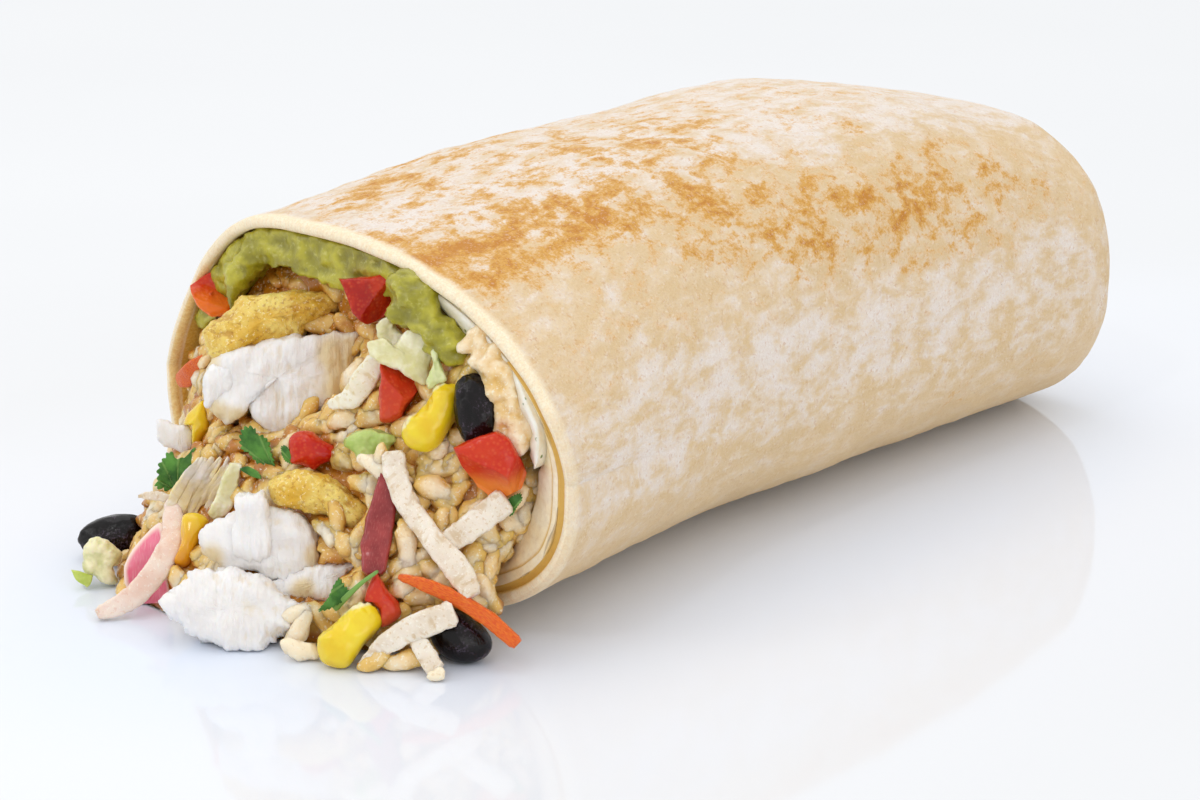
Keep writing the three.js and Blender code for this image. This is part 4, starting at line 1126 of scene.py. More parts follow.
tomato(
    "tomato_left",
    lump(
        [
            (-3.3, 1.2), (-1.6, 2.4), (0.3, 3.4), (2.2, 3.5), (2.5, 1.8), (2.9, -0.7), (3.1, -3.0),
            (0.1, -3.6), (-1.8, -2.4), (-2.8, -0.7)
        ],
        2.8, 2.6, square=5, crisp=0.75, facets=((0.3, 0.95, 0.9, 1.1),)
    ),
    {"at": (-33, 0.6, 37.7), "shift": (0.2, 0.3)},
    tomato_finish_of("tomato_left_skin", tone(206, 34, 18), tone(240, 120, 30), 0.0365, 0.0400)
)
tomato(
    "tomato_small",
    lump(
        [
            (-3.6, 1.8), (-2, 2.9), (-0.4, 2.9), (1.1, 2), (2.9, 0.9), (3.9, -0.4), (2.9, -1.3),
            (1.1, -1.8), (0, -2.6), (-1.8, -2), (-3.6, -1.6)
        ],
        2.6, 2.4, square=2.4, crisp=0.2
    ),
    {"at": (2.8, -9.8, 23.4), "shift": (0.1, -0.4)},
    tomato_finish_of("tomato_small_skin", tone(188, 26, 16), tone(214, 60, 34), 0.018, 0.022)
)
tomato(
    "tomato_low",
    lump(
        [
            (-1.1, 4.1), (-0.2, 3), (0.7, 1.4), (1.8, 0), (2.3, -1.4), (1.6, -2.5), (-0.2, -3.4),
            (-0.5, -1.4), (-1.6, 0), (-2.6, 0.2), (-2, 2.3)
        ],
        1.9, 2, square=3, crisp=0.4
    ),
    {"at": (24.2, -16.4, 7.4), "shift": (0.4, 0.3)},
    tomato_finish_of("tomato_low_skin", tone(196, 44, 28), tone(222, 92, 56), 0.004, 0.009)
)

# ---------------------------------------------------------------- sweet corn
# Cooked kernels cut from the cob: a smooth swollen crown, and a paler cut root where each sat on the
# cob.
corn_finish, tree, shader = new_finish("corn_kernel", **{
    "Roughness": 0.2, "IOR": 1.45, "Subsurface Weight": 0.25, "Subsurface Radius": (1.0, 0.7, 0.1),
    "Subsurface Scale": 0.0015, "Coat Weight": 0.3, "Coat Roughness": 0.1,
})
here = object_place(tree)
cloud = grain_noise(tree, here, 240.0, 3.0)
root = worked(
    tree, "ADD", attribute(tree, "root"),
    worked(tree, "MULTIPLY", worked(tree, "SUBTRACT", cloud, 0.5), 0.3)
)
colour = mixed(tree, ranged(tree, cloud, 0.3, 0.7), tone(232, 196, 10), tone(240, 216, 40))
colour = mixed(tree, attribute(tree, "shade"), colour, tone(226, 142, 26))
colour = mixed(tree, ranged(tree, root, 0.7, 0.95), colour, tone(240, 230, 178))
tree.links.new(colour, shader.inputs["Base Color"])
dented(tree, shader, cloud, 0.0003, 0.4)
for name, corners, place, root_way, shade in (
    (
        "corn_centre",
        [
            (0.6, 4.7), (2.7, 4.9), (3.9, 4), (3.8, 2), (3.1, -0.2), (2, -2.4), (0.7, -4), (-1.1, -4.7),
            (-3.1, -4.2), (-4.2, -2.9), (-4.3, -1.1), (-3.6, 0.2), (-2, 0.9), (-0.6, 2.6)
        ],
        {"at": (21.2, -4.6, 30.4), "shift": (0.8, 0.3)}, (-0.75, 0.66), (0.1, 0.0)
    ),
    (
        "corn_front",
        [
            (-4.4, -0.5), (-3.75, 0.5), (-1.5, 2.3), (0.8, 4.5), (2.4, 4.9), (3.5, 4.1), (4.2, 2.7),
            (4.1, 1.1), (2.6, -0.7), (1.25, -2.5), (-0.3, -4.1), (-1.9, -4.2), (-3.75, -3.2)
        ],
        {"at": (23, -21.6, 4.2), "shift": (0.3, -0.4)}, (-0.25, 0.6), (0.0, 0.1)
    ),
    (
        "corn_left",
        [
            (0.7, 3.3), (1.2, 2.7), (1.7, 0.9), (2, -0.9), (1.2, -2), (-0.4, -3.8), (-0.7, -1.8),
            (-1, -0.7), (-2.2, -0.4), (-1.7, 0.9), (-0.4, 2.4)
        ],
        {"at": (-27.6, -7.4, 20.4), "shift": (0.4, 0)}, (-2, -2), (0.0, 0.25)
    ),
    (
        "corn_side",
        [
            (-1.1, 3.3), (0.9, 3.8), (2.4, 2.7), (1.8, 0.9), (1.1, -1.1), (0.2, -3.1), (-1.1, -4),
            (-2.4, -3.6), (-2, -2.2), (-1.3, 0)
        ],
        {"at": (-11.2, -21.8, 9.8), "shift": (0.3, -0.3)}, (2, 2), (0.2, 0.9)
    )
):
    points, faces, flat = lump(corners, 3.0, 2.8, square=2.2, crisp=0.0, rings=20)
    away = points[:, :2] @ np.array(root_way)
    rooted = (
        np.clip(away / 2.2 - 0.12 * np.abs(points[:, 2]), 0, 1) if abs(root_way[0]) < 1
        else np.zeros(len(points))
    )
    crown = (
        0.25 * wavering(points + 4, 3.6, 2) - 0.5 * rooted * np.abs(wavering(points * [1, 1, 0.4], 1.3, 2))
    )
    kernel = piece(
        f"{name}_kernel", laid(points, **place), faces, corn_finish, flat, root=rooted,
        shade=np.interp(points[:, 1], [-4, 4], shade[::-1])
    )
    raised(kernel, crown)
    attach(kernel, "root")
    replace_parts(kernel, name)

# ---------------------------------------------------------------- black beans
# Boiled black beans, kidney shaped, their purple-black skins wrinkled and glossy. One sits at the right
# wall, one at the foot of the heap and one on the table.
bean_finish, tree, shader = new_finish("bean_skin", **{
    "Roughness": 0.24, "IOR": 1.42, "Specular IOR Level": 0.3, "Coat Weight": 0.08, "Coat Roughness": 0.06,
})
here = object_place(tree)
cloud = grain_noise(tree, here, 300.0, 4.0, 0.6)
colour = mixed(tree, ranged(tree, cloud, 0.35, 0.7), tone(6, 3, 3), tone(26, 15, 18))
# Painted highlights: pale bluish specks where the cloud is mid-toned stand in for the speckled highlights on
# the skins.
colour = speckled(
    tree, colour, here, 2600.0, worked(tree, "MULTIPLY", ranged(tree, cloud, 0.45, 0.65), 0.4),
    tone(104, 92, 112), 0.54
)
tree.links.new(colour, shader.inputs["Base Color"])
dented(tree, shader, cloud, 0.0006, 0.6)
ball, ball_faces = sphere_points(56, 36)
for name, length, place, wrinkled in (
    ("bean_front", 9.4, {"at": (33.2, -10.2, 3.5), "turn": -35}, 0.06),
    ("bean_right", 10.4, {"at": (28.3, -0.6, 32.2), "shift": (-0.9, 0.2), "turn": 98}, 0.3),
    ("bean_left", 10.4, {"at": (-34.8, -18.4, 3.4), "turn": 14}, 0.2),
):
    along = ball[:, 0]
    points = np.column_stack(
        [along * length / 2, ball[:, 1] * 3.3 + 0.7 * (along**2 - 0.4), ball[:, 2] * 3.0]
    )
    bean = piece(f"{name}_boiled", laid(points, **place), ball_faces, bean_finish, points[:, :2] / 10)
    creased = np.column_stack([points[:, 0] * 0.4, points[:, 1:]])
    raised(bean, wrinkled * wavering(creased, 1.6, 3))
    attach(bean, "root")
    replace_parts(bean, name)

# ---------------------------------------------------------------- shredded cheese, carrot and pickled onion
# Flat shreds off a grater: pale cheese, raw orange carrot, and magenta strips of pickled onion. They
# lie loose on the filling.


CUT_END = 0.75  # how wide a shred still is at its cut end, as a share


def shred(points, widths, thickness, around=20, steps=60):
    """A shred along a smooth line through the points, as wide at each as widths says. Its cross-section is
    a rounded slab that faces out."""
    points, widths = np.array(points, float), np.array(widths, float)
    n = len(points)
    t = np.linspace(0, n - 1, steps)
    i = np.clip(t.astype(int), 0, n - 2)
    f = (t - i)[:, None]
    padded = np.vstack([2 * points[0] - points[1], points, 2 * points[-1] - points[-2]])
    a, b, c, d = padded[i], padded[i + 1], padded[i + 2], padded[i + 3]
    line = 0.5 * (2 * b + (c - a) * f + (2 * a - 5 * b + 4 * c - d) * f**2 + (3 * b - a - 3 * c + d) * f**3)
    wide = np.interp(t, np.arange(n), widths)
    along = np.gradient(line, axis=0)
    along /= np.linalg.norm(along, axis=1)[:, None]
    across = np.cross(np.tile(OUT, (steps, 1)), along)
    across /= np.linalg.norm(across, axis=1)[:, None]
    outside = np.cross(along, across)
    ends = np.clip(np.minimum(np.arange(steps), np.arange(steps)[::-1]) / (steps * 0.04) + 0.3, 0, 1) ** 0.5
    ends = np.maximum(ends, CUT_END)
    spin = np.linspace(0, 2 * math.pi, around, endpoint=False)
    cu, su = np.cos(spin), np.sin(spin)
    section = np.stack([np.sign(cu) * np.abs(cu) ** 0.45, np.sign(su) * np.abs(su) ** 0.45], 1)
    half = (wide * ends / 2)[:, None, None]
    body = (
        line[:, None] + across[:, None] * section[None, :, :1] * half
        + outside[:, None] * section[None, :, 1:] * thickness / 2
    )
    flat = np.stack(
        [
            np.repeat(np.linspace(0, 1, steps)[:, None], around, 1) * n,
            np.repeat(section[None, :, 0], steps, 0) * half[..., 0] / 10
        ],
        -1
    )
    points = np.vstack([body.reshape(-1, 3), line[:1], line[-1:]])
    return points, tube_faces(steps, around), np.vstack([flat.reshape(-1, 2), flat[0, :1], flat[-1, :1]])


def laid_shred(name, shape, finish, ragged=0.17, size=1.0):
    points, faces, flat = shape
    made = piece(f"{name}_shred", points, faces, finish, flat)
    raised(made, ragged * wavering(points + 11, size, 3) + ragged * wavering(points, 4.0, 2))
    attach(made, "root")
    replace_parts(made, name)
    return made


def cheese_finish_of(name, dark, light, crease):
    made, tree, shader = new_finish(
        name,
        **{
            "Roughness": 0.42, "IOR": 1.42, "Subsurface Weight": 0.3, "Subsurface Radius": (1.0, 0.8, 0.5),
            "Subsurface Scale": 0.0012
        }
    )
    here = object_place(tree)
    cloud = grain_noise(tree, here, 220.0, 3.0)
    pores = grain_noise(tree, here, 1300.0, 3.0, 0.6)
    colour = mixed(tree, ranged(tree, cloud, 0.3, 0.7), dark, light)
    # Painted shade: the hollows take the crease colour, which also gives the fine dark specks below.
    colour = mixed(tree, ranged(tree, attribute(tree, "hollow"), 0.6, 1.0, 0.0, 0.6), colour, crease)
    colour = speckled(tree, colour, here, 2600.0, 0.5, tone(252, 246, 236))
    colour = speckled(tree, colour, here, 1900.0, 0.5, crease)
    tree.links.new(colour, shader.inputs["Base Color"])
    coarse = dented(tree, shader, cloud, 0.0004, 0.4)
    dented(tree, shader, pores, 0.0003, 0.6, coarse)
    return made


cheese_finish = cheese_finish_of(
    "cheese_shred", tone(226, 210, 188), tone(242, 232, 216), tone(208, 178, 132)
)
slip_finish = cheese_finish_of("cheese_slip", tone(238, 228, 198), tone(248, 243, 224), tone(222, 200, 140))
curl_finish = cheese_finish_of("cheese_curl", tone(236, 204, 186), tone(244, 226, 212), tone(230, 190, 168))
for name, line, widths, thickness in (
    (
        "cheese_long",
        [
            (18.6, -8.6, 26.2), (19.6, -9.2, 23.4), (23.4, -10.0, 19.4), (28.2, -9.9, 15.6),
            (32.4, -9.6, 12.6), (35.4, -9.6, 9.6)
        ],
        [3.0, 3.4, 3.0, 3.3, 3.8, 3.0], 1.7
    ),
    (
        "cheese_across", [(27.4, -9.4, 14.6), (30.0, -7.2, 16.4), (32.4, -4.2, 19.2), (34.4, -2.4, 21.4)],
        [2.4, 3.4, 3.8, 3.6], 1.5
    ),
    (
        "cheese_front", [(26.2, -21.8, 0.9), (28.4, -19.6, 3.4), (31.4, -16.4, 6.0), (35.0, -12.6, 8.0)],
        [0.9, 2.8, 3.6, 3.6], 1.5
    ),
    ("cheese_low", [(30.6, -16.6, 5.0), (33.2, -16.6, 2.8), (35.4, -16.6, 0.9)], [2.0, 2.6, 2.6], 1.3),
    (
        "cheese_curl",
        [
            (-17.8, -19.5, 13.1), (-15.6, -21.2, 11.0), (-12.8, -24.3, 8.4), (-12.0, -27.8, 5.2),
            (-12.9, -31.8, 2.3), (-14.9, -35.8, 0.8)
        ],
        [2.2, 3.0, 3.4, 3.5, 3.2, 1.9], 1.5
    ),
    ("cheese_thin", [(-23, -21.8, 13.2), (-21, -20.4, 13.4), (-18.4, -17.6, 12.6)], [0.7, 1.3, 1.1], 0.8),
    (
        "cheese_slip", [(9.6, -3.2, 36.6), (8.2, -4.6, 33.6), (6.6, -5.8, 31.0), (3.6, -7.0, 29.4)],
        [2.6, 3.6, 3.2, 1.2], 1.3
    )
):
    laid_shred(
        name, shred(line, widths, thickness),
        {"cheese_curl": curl_finish, "cheese_slip": slip_finish}.get(name, cheese_finish)
    )

carrot_finish, tree, shader = new_finish(
    "carrot_shred",
    **{
        "Roughness": 0.3, "IOR": 1.42, "Subsurface Weight": 0.2, "Subsurface Radius": (1.0, 0.4, 0.1),
        "Subsurface Scale": 0.001, "Coat Weight": 0.25, "Coat Roughness": 0.2
    }
)
uv = node(tree, "ShaderNodeUVMap", uv_map="flat").outputs["UV"]
here = object_place(tree)
ridged = grain_noise(
    tree, node(tree, "ShaderNodeMapping", {"Vector": uv, "Scale": (0.4, 6.0, 1.0)}).outputs["Vector"], 14.0,
    3.0
)
cloud = grain_noise(tree, here, 300.0, 3.0)
colour = mixed(tree, ranged(tree, ridged, 0.35, 0.7), tone(232, 84, 6), tone(248, 132, 26))
colour = mixed(tree, ranged(tree, cloud, 0.6, 0.8, 0.0, 0.4), colour, tone(250, 176, 90))
tree.links.new(colour, shader.inputs["Base Color"])
dented(tree, shader, ridged, 0.0004, 0.8)
laid_shred(
    "carrot_front",
    shred(
        [
            (26.6, -15.0, 11.6), (30.4, -13.0, 10.6), (34.4, -10.8, 8.8), (38.2, -8.8, 6.4),
            (41.4, -7.2, 3.6)
        ],
        [0.9, 1.9, 2.1, 2.2, 1.9], 1.8
    ),
    carrot_finish, 0.1
)
laid_shred(
    "carrot_left",
    shred(
        [(-40.4, -0.4, 23.0), (-38.0, -0.8, 24.2), (-35.6, -0.9, 26.2), (-33.2, -0.8, 28.4)],
        [2.2, 3.2, 2.9, 1.0], 1.4
    ),
    carrot_finish, 0.1
)


def onion_finish_of(name, dark, light, rim):
    made, tree, shader = new_finish(name, **{
        "Roughness": 0.25, "IOR": 1.42, "Subsurface Weight": 0.25, "Subsurface Radius": (1.0, 0.4, 0.5),
        "Subsurface Scale": 0.001, "Coat Weight": 0.3, "Coat Roughness": 0.15,
    })
    uv = node(tree, "ShaderNodeUVMap", uv_map="flat").outputs["UV"]
    veined = grain_noise(
        tree, node(tree, "ShaderNodeMapping", {"Vector": uv, "Scale": (6.0, 0.5, 1.0)}).outputs["Vector"],
        9.0, 3.0
    )
    cloud = grain_noise(tree, object_place(tree), 300.0, 3.0)
    colour = mixed(tree, ranged(tree, cloud, 0.3, 0.7), dark, light)
    colour = mixed(tree, ranged(tree, veined, 0.52, 0.72, 0.0, 0.4), colour, rim)
    colour = mixed(tree, ranged(tree, attribute(tree, "rim"), 0.78, 0.95), colour, rim)
    tree.links.new(colour, shader.inputs["Base Color"])
    dented(tree, shader, cloud, 0.0003, 0.4)
    return made


strip_points, strip_faces, strip_flat = shred(
    [(17.6, -8.0, 25.0), (18.6, -9.8, 21.6), (19.6, -12.0, 17.6), (20.6, -14.0, 14.0), (22.0, -15.6, 10.8)],
    [1.6, 3.2, 3.9, 4.1, 3.2], 1.9
)
laid_shred(
    "onion_centre", (strip_points, strip_faces, strip_flat[:, ::-1]),
    onion_finish_of("onion_magenta", tone(132, 31, 32), tone(168, 60, 58), tone(196, 106, 92)),
    0.15, 2.5
)
points, faces, flat = lump(
    [
        (1.6, 6.8), (-0.4, 5.3), (-2, 3.3), (-3, 1.6), (-3.4, 0), (-3.1, -2.2), (-2, -4.4), (-0.9, -6.1),
        (0.2, -6.2), (1.8, -5.3), (3.2, -3.8), (3.1, -2.2), (2.7, -0.4), (2.7, 2.7), (2.2, 5.3)
    ],
    0.9, 0.9, square=5, crisp=0.1, rings=24
)
rim_share = np.ones(len(points))
rim_share[:-2] = np.concatenate(
    [np.sin(np.linspace(0, math.pi / 2, 25)[1:]), np.sin(np.linspace(0, math.pi / 2, 25)[1:])[-2::-1]]
).repeat(120)
rim_share[-2:] = 0
points[:, 2] += 0.09 * points[:, 0] ** 2
onion_slice = piece(
    "onion_left_slice", laid(points, (-17.2, -25.4, 6.4), shift=(0.7, -2.1)), faces,
    onion_finish_of("onion_pink", tone(240, 108, 140), tone(246, 142, 166), tone(250, 222, 208)), flat,
    rim=rim_share
)
raised(onion_slice, 0.12 * wavering(points, 2.4, 2))
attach(onion_slice, "root")
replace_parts(onion_slice, "onion_left")

# ---------------------------------------------------------------- herbs
# Torn coriander leaves, thin and dark green, with lobed and toothed edges and paler veins that fan out
# from the stalk.
herb_finish, tree, shader = new_finish(
    "herb_leaf",
    **{
        "Roughness": 0.45, "IOR": 1.4, "Subsurface Weight": 0.1, "Subsurface Radius": (0.4, 1.0, 0.2),
        "Subsurface Scale": 0.0006
    }
)
here = object_place(tree)
cloud = grain_noise(tree, here, 400.0, 4.0)
colour = mixed(tree, ranged(tree, cloud, 0.3, 0.7), tone(44, 94, 30), tone(92, 150, 58))
colour = mixed(tree, ranged(tree, attribute(tree, "vein"), 0.15, 0.8, 0.0, 0.75), colour, tone(138, 178, 92))
tree.links.new(colour, shader.inputs["Base Color"])
coarse = dented(tree, shader, attribute(tree, "vein"), 0.0004, 0.8)
dented(tree, shader, cloud, 0.0003, 0.6, coarse)


LEAF_CUP = 0.06  # how strongly a herb leaf is cupped


def herb(name, corners, stalk, place, veins, tilt=0.0, stands_for=None, teeth=0.5):
    """A leaf with that outline. Its veins fan from the stalk point towards its edge."""
    edge = outline(corners, 150, 0.5)
    middle = edge.mean(0)
    away = edge - middle
    edge = (
        middle
        + away * (1 + teeth / 3.0 * np.abs(np.sin(np.linspace(0, math.pi * 22, 150)))[:, None] - teeth / 6)
    )
    points, faces, flat = lump(
        edge, 0.28, 0.28, square=4, crisp=1.0, centre=tuple(middle), around=150, rings=20
    )
    fan = np.arctan2(points[:, 1] - stalk[1], points[:, 0] - stalk[0])
    far = np.hypot(points[:, 1] - stalk[1], points[:, 0] - stalk[0])
    vein = np.clip(np.abs(np.cos(fan * veins + tilt)) ** 22 * (1.1 - far / 9), 0, 1)
    points[:, 2] += (
        LEAF_CUP * (points[:, 0] ** 2 - 2 * points[:, 1]) + 0.35 * np.sin(1.3 * points[:, 0] + points[:, 1])
        - 0.22 * vein
    )
    made = piece(f"{name}_leaf", laid(points, **place), faces, herb_finish, flat, vein=vein)
    outward(made)
    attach(made, "root")
    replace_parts(made, stands_for or name)
    return made


herb(
    "herb_left",
    [
        (-2.4, 0.7), (-2, 1.6), (-1.3, 2.2), (-1, 2.9), (-0.2, 2.8), (0.1, 2), (1.3, 2.1), (2, 2.6),
        (2.9, 3.6), (3.3, 2), (2.4, 0.4), (1.6, -0.9), (0.8, -2.2), (0.1, -2.9), (-1.1, -2.6), (-2.6, -2.1),
        (-2.3, -0.9)
    ],
    (0.4, -2.9), {"at": (-22.4, -15.6, 15.6)}, 6, 0.3
)
herb(
    "herb_top",
    [
        (-2.4, 1.3), (-2, 2.7), (-1.1, 3.1), (-0.2, 2.8), (0, 2), (0.9, 1.8), (1.8, 0.9), (2.2, -0.7),
        (2.7, -2.2), (1.2, -3.1), (0, -2), (-1.1, -0.7), (-2, -0.2)
    ],
    (2.7, -3.2), {"at": (-6.2, -12.9, 22.2)}, 6, 0.6
)
herb(
    "herb_front",
    [
        (-4.2, -2.6), (-2.8, -0.8), (-2.2, 0.8), (-1.4, 1.8), (-0.6, 0.6), (0.4, -0.2), (-0.6, -1.2),
        (-1.6, -1.8), (-2.8, -2.4)
    ],
    (1.6, 2.6), {"at": (20.3, -18.6, 8.8)}, 5, 0.2
)
herb(
    "herb_right", [(-1, 0.2), (-0.3, 1.1), (1, 1.6), (1.25, 0.7), (0.6, -0.2), (-0.1, -1.4), (-0.9, -1.4)],
    (-0.9, -1.4), {"at": (34.6, -1.8, 20.2), "shift": (0.4, 0.3)}, 4
)
herb(
    "herb_on_tomato",
    [(-0.9, 1.2), (-0.2, 1.4), (0.8, 0.2), (1.1, -0.9), (0.6, -1.2), (-0.3, -0.8), (-0.8, 0.1)], (1, -1.2),
    {"at": (1.6, -12.3, 22.9), "shift": (-1.0, -0.2)}, 4, stands_for="herb_top"
)
herb(
    "herb_sliver", [(-1.6, 0.6), (-0.4, 1.0), (1.2, 0.2), (1.7, -0.8), (0.4, -0.6), (-0.8, 0.0)],
    (1.7, -0.8), {"at": (-4.6, -15.4, 19.4)}, 3, stands_for="herb_top", teeth=0.05
)
stalk = shred(
    [(24.6, -17.2, 12.4), (22.6, -18.2, 10.6), (20.6, -19.2, 8.4), (18.8, -20.0, 6.2)],
    [0.5, 0.6, 0.8, 0.9], 0.6, steps=30, around=10
)
herb_stalk = piece("herb_stalk", *stalk[:2], herb_finish, stalk[2], vein=np.full(len(stalk[0]), 0.8))
outward(herb_stalk)
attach(herb_stalk, "root")
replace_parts(herb_stalk, "herb_front")

# ---------------------------------------------------------------- lettuce and cabbage
# Torn crisp leaf: watery green chunks of lettuce rib, and pale curved flakes and strips of shredded
# cabbage.


def crisp_finish(name, dark, light, clear=0.3):
    made, tree, shader = new_finish(name, **{
        "Roughness": 0.28, "IOR": 1.4, "Subsurface Weight": clear, "Subsurface Radius": (0.8, 1.0, 0.3),
        "Subsurface Scale": 0.0015, "Coat Weight": 0.2, "Coat Roughness": 0.2,
    })
    here = object_place(tree)
    cloud = grain_noise(tree, here, 230.0, 4.0, 0.6, 0.6)
    fine = grain_noise(tree, here, 1000.0, 3.0)
    colour = mixed(tree, ranged(tree, cloud, 0.32, 0.68), dark, light)
    # Painted shade: the hollows are painted in the darker tone.
    colour = mixed(tree, ranged(tree, attribute(tree, "hollow"), 0.6, 1.0, 0.0, 0.5), colour, dark)
    tree.links.new(colour, shader.inputs["Base Color"])
    coarse = dented(tree, shader, cloud, 0.0006, 0.5)
    dented(tree, shader, fine, 0.00012, 0.4, coarse)
    return made


def torn_leaf(
    name, corners, front, back, place, finish, curl=0.0, way=(1.0, 0.0), ragged=0.3, square=3.0,
    crisp=0.5
):
    """A torn piece with that outline, curled by curl towards way."""
    points, faces, flat = lump(corners, front, back, square=square, crisp=crisp, around=110, rings=18,
                               centre=tuple(np.mean(corners, 0)))
    across = points[:, :2] @ np.array(way)
    points[:, 2] += curl * (across**2) / 6
    made = piece(f"{name}_torn", laid(points, **place), faces, finish, flat)
    raised(made, ragged * wavering(points + 8, 2.4, 3))
    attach(made, "root")
    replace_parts(made, name)
    return made


lettuce_green = crisp_finish("lettuce_green", tone(160, 186, 84), tone(204, 216, 140))
lettuce_pale = crisp_finish("lettuce_pale", tone(204, 202, 138), tone(242, 233, 192))
lettuce_bright = crisp_finish("lettuce_bright", tone(172, 190, 66), tone(206, 216, 120))
cabbage_white = crisp_finish("cabbage_white", tone(216, 208, 150), tone(244, 240, 214), 0.35)
cabbage_green = crisp_finish("cabbage_green", tone(184, 196, 110), tone(226, 230, 180), 0.35)
torn_leaf(
    "lettuce_centre",
    [
        (-3.8, 0.9), (-1.9, 1.8), (0, 2.2), (1.9, 1.9), (3.5, 1.5), (3.8, 0.5), (2.8, -0.5), (2.4, -1.6),
        (0.8, -1.9), (-0.3, -2.6), (-1.7, -2), (-2.6, -0.9), (-3.8, -0.2)
    ],
    2.0, 1.6, {"at": (12.8, -7.6, 25.7)}, lettuce_green, ragged=0.35, square=3.4, crisp=0.6
)
torn_leaf(
    "lettuce_left",
    [
        (-1.8, 3.1), (-0.7, 3.6), (0.9, 3.1), (3, 1.3), (2.7, -0.2), (1.8, -0.9), (2, -2.4), (2.4, -3.3),
        (1.1, -3.6), (-0.2, -2.7), (-1, -2), (-1.8, -2.2), (-3, -1.3), (-2.9, 0.7), (-2.4, 2)
    ],
    1.5, 1.3, {"at": (-27.4, -27.4, 3.8), "shift": (1.3, -0.2)}, lettuce_pale, curl=-0.3,
    ragged=0.4
)
torn_leaf(
    "lettuce_chip", [(-1.8, 1.3), (-0.6, 1.1), (1.4, 0.4), (1.1, -0.9), (0.6, -1.3), (-1, -0.2)], 0.45,
    0.45, {"at": (-27.6, -30.4, 1.5), "shift": (1.1, 0)}, lettuce_bright, ragged=0.1, crisp=0.8
)
torn_leaf(
    "cabbage_upper",
    [
        (-2, 0.8), (-0.9, 1.6), (0.6, 1.8), (0.9, 0.5), (1.8, -0.5), (2.6, -1), (1.5, -2.4), (-0.3, -2.2),
        (-1.3, -1.6)
    ],
    0.8, 0.8, {"at": (9.6, -1.5, 39.4), "shift": (0.4, 1.0)}, cabbage_white, curl=0.4
)
torn_leaf(
    "cabbage_middle",
    [
        (-5.4, 1.5), (-3.3, 2.1), (-1.6, 1.1), (0.2, 3.2), (2.0, 3.1), (3.7, 1.7), (4.4, 0.6), (3.4, -1.5),
        (2.9, -4.4), (1.1, -3.9), (-0.9, -2.4), (-3.3, -1.6), (-4.9, -0.4)
    ],
    0.9, 0.9, {"at": (16.2, -2.2, 37.4), "shift": (-1.2, 1.1)}, cabbage_white, curl=0.35,
    way=(0.7, 0.7)
)
torn_leaf(
    "cabbage_right",
    [(-0.7, 2.2), (0, 2.7), (0.9, 0), (1.3, -1.6), (0, -2.2), (-1.1, -2.9), (-1.3, -1.8), (-0.4, 0.4)], 0.8,
    0.8, {"at": (21.2, -1.6, 36.9), "shift": (-0.8, 0.3)}, cabbage_green, curl=0.6
)
cabbage_cream = crisp_finish("cabbage_cream", tone(236, 210, 144), tone(250, 238, 208), 0.4)
strings, string_faces = [], []
for k in range(13):
    away, up = -1.9 + 0.58 * k, 0.9 * math.sin(2.3 * k) + 0.2
    along = np.linspace(-0.5, 0.5, 6)
    line = np.column_stack(
        [
            along * (5.2 + math.sin(3 * k)) + 0.5 * math.sin(5 * k) * np.cos(along * 3) + away,
            along * (9.0 + 1.6 * math.sin(4 * k)) + up, 0.8 * np.cos(along * 2.6) + 0.3 * math.sin(6 * k)
        ]
    )
    wide = 1.1 + 0.35 * math.sin(7 * k)
    points, faces, _ = shred(
        laid(line, (-15.7, -17.1, 14.7)), [0.5 * wide, wide, 1.2 * wide, 1.1 * wide, wide, 0.4 * wide], 0.8,
        around=12, steps=30
    )
    string_faces += [tuple(i + sum(map(len, strings)) for i in face) for face in faces]
    strings.append(points)
cabbage_strings = piece("cabbage_strings", np.vstack(strings), string_faces, cabbage_cream)
raised(cabbage_strings, 0.2 * wavering(np.vstack(strings), 1.2, 2))
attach(cabbage_strings, "root")
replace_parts(cabbage_strings, "cabbage_left")
torn_leaf(
    "cabbage_rib",
    [
        (0.6, 4.2), (2.4, 3.8), (2.2, 1.6), (1.4, -1.2), (0.2, -3.4), (-1.6, -4.2), (-2.4, -3.0),
        (-1.4, -1.0), (-0.6, 1.4)
    ],
    0.9, 0.9, {"at": (-9.4, -16.3, 15.8)}, cabbage_white, curl=0.3
)

# ---------------------------------------------------------------- rice
# Cooked long-grain rice, tan and glossy from the salsa. It fills the roll and slumps out of the mouth, and
# every topping lies on it or in it. Loose grains cover the heap, and a few lie over the toppings and on
# the table.
HEAP_REACH, HEAP_RIDGE, HEAP_LEFT_SPREAD, HEAP_RIGHT_SPREAD = 32.0, -10.0, 31.0, 62.0
HEAP_LEFT, HEAP_RIGHT, HEAP_HEIGHT, HEAP_SLOPE = 43.0, 35.5, 44.0, 0.62
CORE_SUNK, BED_SUNK, TOP_SUNK, FOOT_SUNK, ROOF_SUNK = 1.9, 1.8, 1.1, 4.0, 5.0
AFLOAT = 0.3


def heap_reach(x):
    away = np.where(
        x < HEAP_RIDGE, (HEAP_RIDGE - x) / HEAP_LEFT_SPREAD, (x - HEAP_RIDGE) / HEAP_RIGHT_SPREAD
    )
    power = np.where(x < HEAP_RIDGE, 2.2, 2.0)
    return HEAP_REACH * np.maximum(0.02, 1 - np.abs(away) ** power)


def heap_height(x, y):
    across = np.sqrt(np.clip(1 - (x / np.where(x < 0, HEAP_LEFT, HEAP_RIGHT)) ** 4, 0, 1))
    forward = np.clip(-y / heap_reach(x), 0, 1)
    k = 2 * math.pi / 13
    waves = (np.sin(k * x + 2) + np.sin(k * (0.83 * y - 0.55 * x) + 4.2) + np.sin(k * 0.6 * y + 6.6)) / 3
    uneven = 0.9 * waves * smooth(forward, 0.02, 0.2) * (1 - forward)
    return (HEAP_HEIGHT * (1 - forward**HEAP_SLOPE) + uneven) * across


